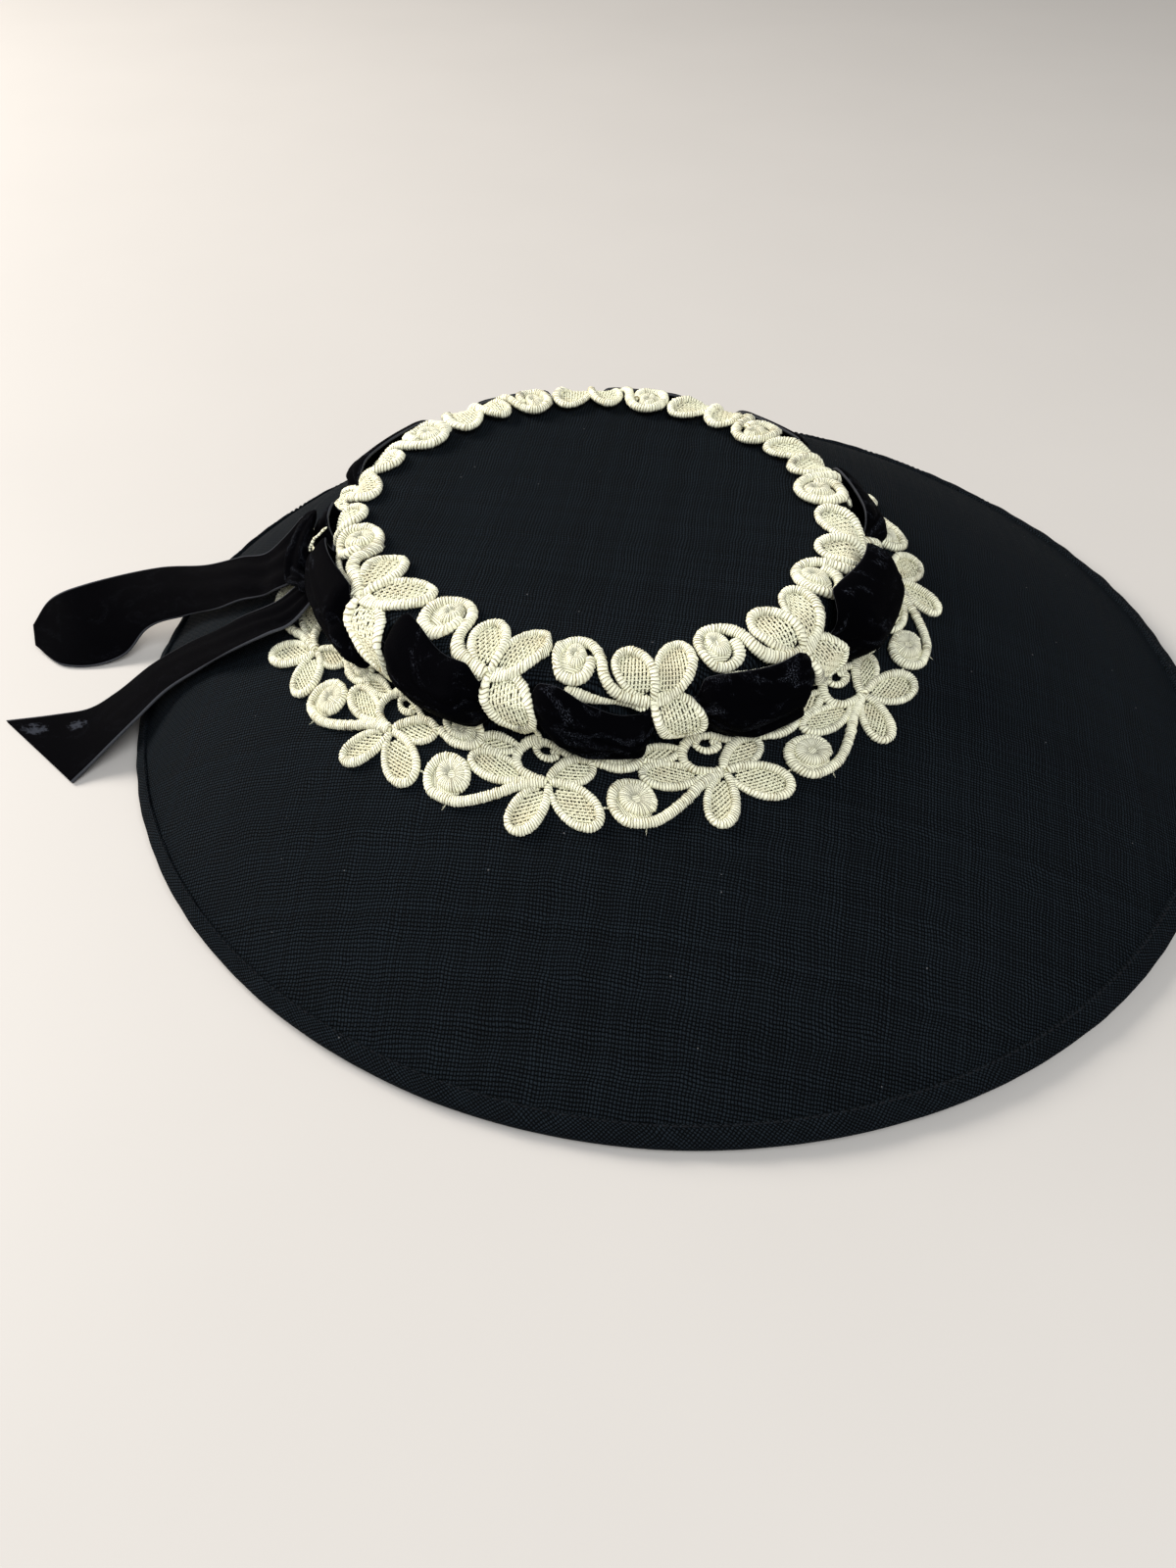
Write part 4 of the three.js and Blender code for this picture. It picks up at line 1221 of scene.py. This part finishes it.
HIDDEN_POINTS = [
    (9.4, 49.4), (11.2, 50.9), (13.6, 52.1), (16.4, 51.8), (18.4, 50), (19, 46.8), (17.6, 43.2),
    (14.6, 41.6), (11.8, 43), (10.8, 46.4), (12.2, 49), (14.6, 49.4),
]
EYELET_POINTS = [
    (-0.8, 44.4), (-3.5, 46), (-5.3, 48.7), (-5.9, 52), (-5.1, 55), (-3.1, 56.9), (0, 57.9),
]
HOOK_POINTS = [
    (6.5, 49.8), (4.2, 47.8), (1.8, 45.6), (-0.6, 45.3), (-1.9, 47.1), (-1.1, 49.2), (1.1, 49.7),
    (2.3, 48.3), (1.0, 47.2),
]
BAR_POINTS = [(-28.3, 27), (-26, 28.3), (-22, 29.9), (-17.8, 30.9), (-14.2, 31.5), (-12, 30.8)]
BAR_WIDTHS = [1.7, 2.0, 1.3, 0.75, 1.2, 0.9]
TIE_POINTS = [(8.4, 64.6), (11.4, 64.4)]
FOOT_POINTS = [(-1.8, 39.2), (-1.4, 42), (-1, 44.8)]
# Cords round the brim's row: points, width against a plain cord's, where
LOWER_ROWS = (
    (BRIM_SCROLL_POINTS, 1, "all"), (EYELET_POINTS, 1, "all"), (HOOK_POINTS, 0.75, "all"),
    (HIDDEN_POINTS, 0.95, "all"), (FOOT_POINTS, 0.7, "whole"),
)
TIE_RADIUS = 0.35
# Thin bar over the ribbon at the join: real degrees and t, then height and radius
JOIN_BAR = [(189.6, 27.5), (189.9, 31), (190.6, 34), (192.4, 40), (194, 44)]
JOIN_BAR_RISE = [4.4, 7.6, 9.0, 9.6, 8.6]
JOIN_BAR_RADIUS = 0.55
# Loose thread ends, in pairs: start, lean in degrees, length; then spread of the lean, curl, height and
# its unevenness, radius
LOOSE_ROWS = [((-17.4, 71.2), 92, 2.6), ((-9.6, 58.4), 95, 2.4)]
LOOSE_SPREAD, LOOSE_CURL = 30, 0.14
LOOSE_RISE, LOOSE_UNEVEN = 0.9, 0.25
LOOSE_RADIUS = 0.07


def upper_cords(radius, rng):
    """Scroll with its stem, the rims of the upper flower, and the tapered bar under the scroll."""
    strands = [cord(even_path(SCROLL_POINTS), radius, rng, where="whole")]
    bar = even_path(BAR_POINTS)
    width = np.interp(np.linspace(0, 1, len(bar)), np.linspace(0, 1, len(BAR_WIDTHS)), BAR_WIDTHS)
    strands.append(cord(bar, width, rng, flat=0.5, where="whole"))
    for name, where in LEAF_WHERE.items():
        strands.append(leaf_cord(LEAF_ROWS[name], LEAF_CORD * radius, rng, where))
    join_bar = even_path(JOIN_BAR)
    rise = np.interp(join_bar[:, 1], [t for _, t in JOIN_BAR], JOIN_BAR_RISE)
    strands.append(cord(join_bar, JOIN_BAR_RADIUS, rng, rise=rise, where="real"))
    return strands + [button(*row) for row in BUTTON_ROWS["upper"]]


def lower_cords(radius, rng):
    """Brim scroll with its stem, eyelet, hook, half-hidden scroll, and the rims of the brim leaves."""
    strands = []
    for points, width, where in LOWER_ROWS:
        strands.append(cord(even_path(points), radius * width, rng, where=where))
    strands.append(cord(even_path(TIE_POINTS), TIE_RADIUS, rng, sides=6))
    for name, row in LEAF_ROWS.items():
        if name not in LEAF_WHERE:
            strands.append(leaf_cord(row, LEAF_CORD * radius, rng, "all"))
    return strands + [button(*row) for row in BUTTON_ROWS["lower"]]


def loose_ends(rng):
    """Short thread ends that stand out of the cords, each a thin bent tube."""
    strands = []
    for (s, t), lean, length in LOOSE_ROWS:
        for _ in range(2):
            way = (lean + LOOSE_SPREAD * rng.standard_normal()) * DEG
            run = np.linspace(0, length * rng.uniform(0.6, 1.2), 7)
            curl = LOOSE_CURL * run**2 * rng.standard_normal()
            scale = mm_per_degree(t)
            x = run * math.cos(way) - curl * math.sin(way)
            y = run * math.sin(way) + curl * math.cos(way)
            path = np.stack([s + x / scale, t + y], axis=-1)
            rise = LOOSE_RISE + LOOSE_UNEVEN * rng.standard_normal()
            strands.append(cord(path, LOOSE_RADIUS, rng, sides=4, rise=rise, flat=1.0, where="whole"))
    return strands


def lay_lace(name, strands):
    """Lays every strand of the repeat on each of its places round the crown, as one mesh."""
    points, quads, triangles, uv = [], [], [], []
    count = 0
    for strand in strands:
        s, t, h, along, side = strand.grid
        rows, columns = s.shape
        repeats = REPEATS_AT[strand.where]
        lay = on_hat if strand.where == "real" else lace_point
        nominal = s[None] + (repeats * PERIOD)[:, None, None]
        laid = lay(nominal, t[None], h[None]).reshape(-1, 3)
        first = count + np.arange(len(repeats))[:, None, None] * rows * columns
        quads.append((grid_faces(rows, columns, close_columns=True)[None] + first).reshape(-1, 4))
        triangles.append((ring_caps(rows, columns)[None] + first).reshape(-1, 3))
        texture = np.stack([along, side], axis=-1).reshape(1, -1, 2) + (repeats * REPEAT_SHIFT)[:, None, None]
        uv.append(texture.reshape(-1, 2))
        points.append(laid)
        count += len(laid)
    arrays = [np.concatenate(part) for part in (points, quads, triangles, uv)]
    return mesh_from(name, *arrays)


# Ribbon

# Puffs of the ribbon band: swell, top edge along the section at its start and at its end, how far the
# top edge stands out, bottom edge
PUFF_ROWS = np.array([
    (8.2, 21.8, 25.5, 4.4, 43.8), (7.8, 26.2, 33.4, 2.4, 50.6), (8.2, 26.2, 28, 3.6, 51.4),
    (9.4, 22.4, 23.5, 6.6, 50.4), (8.2, 26.6, 26.6, 3.6, 48.6), (8.2, 26.6, 26.6, 3.6, 48.6),
    (8.0, 27, 27, 3.6, 48.6), (7.6, 27, 27, 3.6, 48.6), (8.4, 26.6, 26.6, 3.6, 48.6),
    (5.2, 27, 27, 4.6, 48.6), (6.8, 27, 25, 4.4, 47),
])
# Degrees after a pinch where a puff may start; the first one starts late, beside a long leaf
PUFF_START, LATE_START = 1.2, 4
# Places of the pinches in degrees, their lean, and the ribbon's edges there
PINCH_AT = -5.8
KNOT_PINCH_AT = -15.5
PINCH_LEAN = 0.18
PINCH_TOP, PINCH_BOTTOM = 31.5, 38.5
PUFF_STEPS, PUFF_ACROSS = 60, 33
# Degrees from the pinch where the swell, the top edge and the bottom edge start, and how long each takes
SWELL_FROM, SWELL_SPAN = 3.6, 6
TOP_FROM, TOP_SPAN = 3, 4
LOW_FROM, LOW_SPAN = 3.4, 7.6
# How far the edges stand out at the pinch, and the bottom edge in a puff
PINCH_OUT, LOW_OUT = 1.6, 3.4
# Part of a puff in which its start goes over into its end
CHANGE_FROM, CHANGE_SPAN = 0.3, 0.4
# Folds: count across the ribbon, their shift from puff to puff, depth at the pinch and in the puff
FOLDS, FOLD_SHIFT = 3.5, 1.3
PINCH_FOLD, PUFF_FOLD = 1.5, 0.15
# Creases of a puff: place across, lean, depth; then their half width and how much their place changes
CREASE_ROWS = ((0.3, 0.5, 0.7), (0.62, -0.35, 0.6), (0.8, 0.25, 0.5))
CREASE_HALF, CREASE_CHANGE = 0.035, 0.06
# Part of a half sine that the swell takes up across the ribbon, and its power
BULGE_FROM, BULGE_TO, BULGE_POWER = 0.02, 0.99, 0.72
# Middle of the ribbon along the section, the length its pile is counted over, and the share of its width
# that is hidden at each edge
MIDDLE_T = 40.0
PILE_LENGTH = 2.2 * math.pi * 95
EDGE_HIDDEN = 0.012


def band_mesh():
    """The ribbon round the crown.

    f runs along each puff from pinch to pinch and w across the ribbon. The edges spread from the
    pinch to the puff by a soft step, the middle swells by sin(pi w) times the puff's share, and
    folds run along it: cosines of w, strong at the pinch and faint in the puff.
    """
    k = np.repeat(np.arange(REPEATS), PUFF_STEPS)[:, None]
    f = np.tile(np.linspace(0, 1, PUFF_STEPS, endpoint=False), REPEATS)[:, None]
    w = np.linspace(0, 1, PUFF_ACROSS)[None, :]
    change = rises(f, CHANGE_FROM, CHANGE_SPAN)
    swell, top, top_end, top_out, bottom = (PUFF_ROWS[k[:, 0], i][:, None] for i in range(5))
    top = blend(top, top_end, change)
    near = np.minimum(f * PERIOD - np.where(k == 0, LATE_START, PUFF_START), (1 - f) * PERIOD)
    share = np.sin(np.clip((near - SWELL_FROM) / SWELL_SPAN, 0, 1) * math.pi / 2)
    spread, low_spread = rises(near, TOP_FROM, TOP_SPAN), rises(near, LOW_FROM, LOW_SPAN)
    t = blend(blend(PINCH_TOP, top, spread), blend(PINCH_BOTTOM, bottom, low_spread), w)
    edge = blend(blend(PINCH_OUT, top_out, spread), blend(PINCH_OUT, LOW_OUT, low_spread), w)
    bulge = swell * share * np.sin(math.pi * blend(BULGE_FROM, BULGE_TO, w)) ** BULGE_POWER
    fold = blend(PINCH_FOLD, PUFF_FOLD, share) * np.cos(2 * math.pi * FOLDS * w + FOLD_SHIFT * k)
    fold = fold * np.sin(math.pi * w)
    crease = np.zeros_like(t)
    for place_at, lean, depth in CREASE_ROWS:
        line = place_at + lean * (f - 0.5) + CREASE_CHANGE * np.sin(5 * k + 9 * place_at)
        crease = crease - depth * share * np.exp(-(((w - line) / CREASE_HALF) ** 2))
    h = edge + bulge + fold + crease * np.sin(math.pi * w)
    pinch, following = (np.where(i % REPEATS == JOIN, KNOT_PINCH_AT, PINCH_AT) for i in (k, k + 1))
    nominal = (k + f) * PERIOD + blend(pinch, following, change)
    follows = np.where(k == JOIN, f, np.where(k == JOIN - 1, 1 - f, 1.0))
    slanted = around_at(nominal + PINCH_LEAN * (t - MIDDLE_T), t)
    points = on_hat(blend(around_at(nominal, MIDDLE_T), slanted, follows), t, h)
    along = (np.arange(len(f)) * (PILE_LENGTH / len(f)))[:, None]
    uv = stacked(along, blend(EDGE_HIDDEN, 1 - EDGE_HIDDEN, w))
    quads = grid_faces(len(f), PUFF_ACROSS, close_rows=True)
    return mesh_from("velvet_band", points, quads, uv=uv)


# Knot sections: degrees, place along the hat's section, half width, inner and outer height
KNOT_ROWS = np.array([
    (183.6, 28.8, 1.2, 9.2, 10.4), (184.4, 29.8, 3, 8.8, 12.4), (185.6, 31, 3.8, 9, 13.6),
    (189.2, 35, 4.4, 8.8, 16.2), (193.5, 40, 5, 8.4, 16.8), (197.5, 45, 4.6, 7.8, 15.4),
    (199.6, 48.4, 3.2, 8.2, 12.6), (200, 49.2, 1.2, 9, 11.4),
])
KNOT_STEPS, KNOT_SIDES = 70, 60
# Pleats: count round the knot, depth, where they start at the knot's middle, twist along it, and how far
# they reach down its sides; then how much wider they make it
PLEATS, PLEAT_DEPTH = 5, 0.2
PLEAT_START, PLEAT_MIDDLE, PLEAT_TWIST = 0.5, 35, 0.05
PLEAT_REACH = 0.3
KNOT_WIDER = 1.3
# Pile of the knot: length to a millimetre, part of the ribbon's half width, turn in radians
KNOT_PILE, KNOT_HALF, KNOT_TURN = 2, 0.45, 0.5


def knot_mesh():
    """The loop over the pinch: oval sections along t with upright pleats, by a cosine round the section."""
    t = np.linspace(KNOT_ROWS[0, 1], KNOT_ROWS[-1, 1], KNOT_STEPS)
    deg, half, low, high = (hermite(t, KNOT_ROWS[:, 1], KNOT_ROWS[:, i])[:, None] for i in (0, 2, 3, 4))
    t = t[:, None]
    turn = full_turn(KNOT_SIDES)[None, :]
    crest = np.cos(PLEATS * turn + PLEAT_START + PLEAT_TWIST * (t - PLEAT_MIDDLE))
    pleat = 1 + PLEAT_DEPTH * crest * np.clip(np.sin(turn) + PLEAT_REACH, 0, 1)
    across = KNOT_WIDER * half * np.cos(turn) * pleat
    out = (low + high) / 2 + (high - low) / 2 * np.sin(turn) * pleat
    points = on_hat(deg + across / mm_per_degree(t), t, out)
    uv = stacked(KNOT_PILE * t, 0.5 + KNOT_HALF * np.cos(turn - KNOT_TURN))
    quads = grid_faces(KNOT_STEPS, KNOT_SIDES, close_columns=True)
    return mesh_from("velvet_knot", points, quads, ring_caps(KNOT_STEPS, KNOT_SIDES), uv)


# Edges of the ribbon tails from the knot to the floor: far edge, near edge, from the rim's centre
TAIL_ROWS = {
    "ribbon_tail_upper": [
        ((-127.8, -0.5, 62.5), (-123.0, -27, 56)), ((-133.4, -5.5, 57), (-132, -26, 51)),
        ((-141, -5, 50), (-139, -21.5, 44.5)), ((-153, 1, 43.5), (-148.5, -18, 39.2)),
        ((-172, 10.5, 32), (-160, -13.5, 31)), ((-195.5, 19, 23), (-178.5, -4.5, 19.4)),
        ((-214, 17.5, 18.5), (-196.5, -2.5, 10)), ((-224, 12, 18), (-204, -9.5, 3)),
        ((-232, 9, 16), (-214.5, -14.5, 0.8)), ((-238.5, 8.6, 11.5), (-226, -15.3, 0.8)),
        ((-242.8, 0.6, 6), (-240, -6.6, 2)),
    ],
    "ribbon_tail_lower": [
        ((-120, -26, 57), (-114.5, -37, 58)), ((-131, -29.5, 48.5), (-123, -42.5, 49.5)),
        ((-144.6, -29.5, 41), (-130, -46.5, 47.5)), ((-153.5, -28.5, 34.5), (-141, -47.5, 41.5)),
        ((-172, -23, 20.5), (-157.5, -44.5, 29)), ((-186.5, -24.5, 11), (-170.5, -47.5, 20.5)),
        ((-197, -34, 5.5), (-179, -56, 14.5)), ((-205, -40.5, 3), (-186.5, -63, 9)),
        ((-217, -43.5, 1.6), (-193, -69, 4)), ((-233.5, -47.5, 0.8), (-198, -75, 0.8)),
    ],
}
# The rim's centre lies this far in front of the crown's
RIM_FORWARD = 26
TAIL_ORIGIN_X = CROWN_X + RIM_FORWARD
TAIL_STEPS, TAIL_ACROSS = 150, 27
# How each tail bows across and where its ripples start, how fast the bow comes and in what part of the
# tail it goes, the ripples' height and counts, lowest height
TAIL_BENDS = {"ribbon_tail_upper": (1.6, 0.4), "ribbon_tail_lower": (1.2, 2.1)}
BOW_RATE, BOW_END = 1.1, 1 / 6
TAIL_RIPPLE = 0.5
RIPPLES_ACROSS, RIPPLES_ALONG = 2.5, 1.7
TAIL_LOWEST = 0.5


def tail_mesh(name):
    """A strip between two edge splines, bowed across by 4w(1-w) and rippled along by sines."""
    bow, phase = TAIL_BENDS[name]
    rows = np.array(TAIL_ROWS[name], float)
    both = spline(rows.reshape(len(rows), 6), TAIL_STEPS)
    far, near = both[:, :3], both[:, 3:]
    w = np.linspace(0, 1, TAIL_ACROSS)[None, :, None]
    strip = blend(far[:, None], near[:, None], w)
    along = np.gradient((far + near) / 2, axis=0)
    normal = np.cross(along, near - far)
    normal = normal / np.linalg.norm(normal, axis=1, keepdims=True)
    normal = normal * np.sign(normal[:, 2:])
    run = np.linspace(0, 1, TAIL_STEPS)[:, None, None]
    bowed = np.sin(math.pi * np.clip(run * BOW_RATE, 0, 1)) * falls(run, 1, BOW_END)
    bend = bow * 4 * w * (1 - w) * bowed
    wave = np.sin(2 * math.pi * (RIPPLES_ACROSS * w + RIPPLES_ALONG * run) + phase)
    folds = TAIL_RIPPLE * wave * (1 - run) ** 2
    points = strip + normal[:, None] * (bend + folds) + (TAIL_ORIGIN_X, 0, 0)
    points[..., 2] = np.maximum(points[..., 2], TAIL_LOWEST)
    distance = run_length((far + near) / 2)
    uv = stacked(distance[:, None], w[..., 0])
    quads = grid_faces(TAIL_STEPS, TAIL_ACROSS)
    return mesh_from(name, points, quads, uv=uv), distance[-1]


# Operators


class HAT_OT_cloth(bpy.types.Operator):
    """Makes the crown and the brim from woven cloth"""

    bl_idname = "hat.cloth"
    bl_label = "Crown and brim"

    def execute(self, context):
        cloth = cloth_material("black_cloth", "Object", turn=4 * DEG)
        add_piece("crown_cloth", crown_mesh(), cloth, "cloth", "crown")
        add_piece("brim_cloth", brim_mesh(), cloth, "cloth", "brim")
        return {"FINISHED"}


class HAT_OT_binding(bpy.types.Operator):
    """Binds the brim's edge and sews the binding down"""

    bl_idname = "hat.binding"
    bl_label = "Brim binding"

    def execute(self, context):
        bias = cloth_material("bias_cloth", "UV", turn=45 * DEG)
        add_piece("brim_binding_cloth", binding_mesh(), bias, "binding", "brim_binding")
        pitch = context.scene.hat_cloth.stitch_pitch / MM
        add_piece("brim_stitches", stitch_mesh(pitch), thread_material(), "binding")
        return {"FINISHED"}


class HAT_OT_lace(bpy.types.Operator):
    """Makes the lace band: cords, buttons, net and loose ends"""

    bl_idname = "hat.lace"
    bl_label = "Lace band"

    def execute(self, context):
        settings = context.scene.hat_lace
        rng = np.random.default_rng(settings.seed)
        radius = settings.cord_width / MM / 2
        pitch = settings.net_pitch / MM
        satin, net = satin_material(), net_material()
        groups = {
            "lace_upper_cords": (upper_cords(radius, rng), satin),
            "lace_lower_cords": (lower_cords(radius, rng), satin),
            "lace_loose_ends": (loose_ends(rng), net),
        }
        for piece, leaves in NET_LEAVES.items():
            strands = []
            for leaf in leaves:
                where = LEAF_WHERE.get(leaf, "all")
                strands += leaf_net(LEAF_ROWS[leaf], radius * NET_CORD, pitch, rng, where)
            groups[piece] = (strands, net)
        for name, (strands, material) in groups.items():
            add_piece(name, lay_lace(name, strands), material, "lace", "lace")
        return {"FINISHED"}


class HAT_OT_ribbon(bpy.types.Operator):
    """Makes the velvet ribbon: band, knot and tails"""

    bl_idname = "hat.ribbon"
    bl_label = "Velvet ribbon"

    def execute(self, context):
        # The band's velvet has its painted sheen at full share, and the tails' velvet at a smaller share.
        velvet = velvet_material("velvet", 1.0)
        smooth_pile = {
            "ribbon_tail_upper": velvet_material("velvet_smooth", TAIL_SHEEN_SHARE),
            "ribbon_tail_lower": velvet_material("velvet_worn", TAIL_SHEEN_SHARE, worn=True),
        }
        wall = context.scene.hat_ribbon.wall
        band = add_piece("velvet_band", band_mesh(), velvet, "velvet", "ribbon_band")
        thicken(band, wall)
        add_piece("velvet_knot", knot_mesh(), velvet, "velvet", "ribbon_knot")
        for name, pile in smooth_pile.items():
            mesh, length = tail_mesh(name)
            tail = add_piece(name.replace("ribbon", "velvet"), mesh, pile, "velvet", name)
            thicken(tail, wall)
        return {"FINISHED"}


# Camera solved from the photograph: distance from the rim's centre in millimetres, turns in radians,
# focal length and height of the picture in pixels, sensor, height of the rim's edge in millimetres
CAMERA_DISTANCE = 442.345
CAMERA_TILT = 0.69916
CAMERA_ROLL = 0.06836
CAMERA_YAW = -0.05976
CAMERA_PITCH = -0.09391
FOCAL_PIXELS = 1202
PHOTO_HEIGHT = 1600
SENSOR_MM = 36
EDGE_RISE = 1.75
# Light: colour and strength of the surroundings, then rows of place, target, size and colour
AMBIENT, AMBIENT_STRENGTH = (1, 0.985, 0.965, 1), 0.28
KEY_LIGHT = ((-1.5, 0.55, 1.05), (0, 0, 0.04), 0.9, (1, 0.94, 0.87))
FILL_LIGHT = ((0.5, -1.2, 1.9), (0, 0, 0), 1.6, (0.97, 0.985, 1))
FILL_POWER = 46
# Half the floor's side in millimetres, scale of its mottle and the shares of its colour there
FLOOR_HALF = 6000
MOTTLE_SCALE = 9
MOTTLE_SHARES = (0.97, 1.02)


def turned(a, b, angle):
    """Two unit vectors turned in their plane, the first towards the second."""
    return a * math.cos(angle) + b * math.sin(angle), b * math.cos(angle) - a * math.sin(angle)


def standing(right, up, back, at):
    """Matrix of an object at a place, with those three as its own axes."""
    columns = np.stack([right, up, back, at], axis=-1)
    return Matrix([*columns.tolist(), [0, 0, 0, 1]])


def camera_matrix():
    """Camera that looks at the rim's centre from the picture's front, then turned by yaw, pitch and roll."""
    back = np.array([0, -math.cos(CAMERA_TILT), math.sin(CAMERA_TILT)])
    at = back * CAMERA_DISTANCE + (TAIL_ORIGIN_X, 0, EDGE_RISE)
    ahead, right = -back, np.array([1.0, 0, 0])
    up = np.cross(right, ahead)
    ahead, right = turned(ahead, right, CAMERA_YAW)
    ahead, up = turned(ahead, up, CAMERA_PITCH)
    right, up = turned(right, up, CAMERA_ROLL)
    return standing(right, up, -ahead, at * MM)


def floor_material():
    """Pale matt board with a faint mottle."""
    colour = bpy.context.scene.hat_stage.floor
    material, tree, shader = new_material("pale_floor", {"Roughness": 0.6})
    mottle = noise(tree, coordinates(tree, "Object"), MOTTLE_SCALE, detail=4)
    mottled = mix_colour(tree, mottle, *(scaled_colour(colour, share) for share in MOTTLE_SHARES))
    tree.links.new(mottled, shader.inputs["Base Color"])
    return material


def area_light(name, power, at, target, size, colour):
    """Square light at a place, facing a target."""
    data = bpy.data.lights.new(name, "AREA")
    data.energy, data.size, data.color = power, size, colour
    light = bpy.data.objects.new(name, data)
    bpy.context.scene.collection.objects.link(light)
    back = np.array(at, float) - np.array(target, float)
    back = back / np.linalg.norm(back)
    right = np.cross((0, 0, 1), back)
    right = right / np.linalg.norm(right)
    light.matrix_world = standing(right, np.cross(back, right), back, at)


class HAT_OT_stage(bpy.types.Operator):
    """Sets the floor, the soft light and the camera"""

    bl_idname = "hat.stage"
    bl_label = "Stage"

    def execute(self, context):
        scene = context.scene
        corners = FLOOR_HALF * np.array([(-1, -1, 0), (1, -1, 0), (1, 1, 0), (-1, 1, 0)], float)
        floor = bpy.data.objects.new("floor", mesh_from("floor", corners, np.array([[0, 1, 2, 3]])))
        floor.data.materials.append(floor_material())
        scene.collection.objects.link(floor)
        world = bpy.data.worlds.new("studio")
        world.use_nodes = True
        background = world.node_tree.nodes["Background"]
        background.inputs["Color"].default_value = AMBIENT
        background.inputs["Strength"].default_value = AMBIENT_STRENGTH
        scene.world = world
        scene.view_settings.view_transform = "Standard"
        area_light("key", scene.hat_stage.key_power, *KEY_LIGHT)
        area_light("fill", FILL_POWER, *FILL_LIGHT)
        data = bpy.data.cameras.new("camera")
        data.sensor_width = SENSOR_MM
        data.lens = FOCAL_PIXELS / PHOTO_HEIGHT * SENSOR_MM
        camera = bpy.data.objects.new("camera", data)
        scene.collection.objects.link(camera)
        camera.matrix_world = camera_matrix()
        scene.camera = camera
        return {"FINISHED"}


class HAT_PT_sidebar(bpy.types.Panel):
    """Lists the hat's settings and operators"""

    bl_idname = "HAT_PT_sidebar"
    bl_label = "Picture hat"
    bl_space_type = "VIEW_3D"
    bl_region_type = "UI"
    bl_category = "Hat"

    def draw(self, context):
        scene = context.scene
        for settings in (scene.hat_cloth, scene.hat_lace, scene.hat_ribbon, scene.hat_stage):
            for name in settings.__annotations__:
                self.layout.prop(settings, name)
        for operator in OPERATORS:
            self.layout.operator(operator.bl_idname)


OPERATORS = (HAT_OT_stage, HAT_OT_cloth, HAT_OT_binding, HAT_OT_lace, HAT_OT_ribbon)
SETTINGS = {
    "hat_cloth": ClothSettings,
    "hat_lace": LaceSettings,
    "hat_ribbon": RibbonSettings,
    "hat_stage": StageSettings,
}


def register():
    for cls in (*SETTINGS.values(), *OPERATORS, HAT_PT_sidebar):
        bpy.utils.register_class(cls)
    for name, cls in SETTINGS.items():
        setattr(bpy.types.Scene, name, PointerProperty(type=cls))


def unregister():
    for name in SETTINGS:
        delattr(bpy.types.Scene, name)
    for cls in reversed((*SETTINGS.values(), *OPERATORS, HAT_PT_sidebar)):
        bpy.utils.unregister_class(cls)


def main():
    register()
    bpy.ops.hat.stage()
    bpy.ops.hat.cloth()
    bpy.ops.hat.binding()
    bpy.ops.hat.lace()
    bpy.ops.hat.ribbon()


if __name__ == "__main__":
    main()
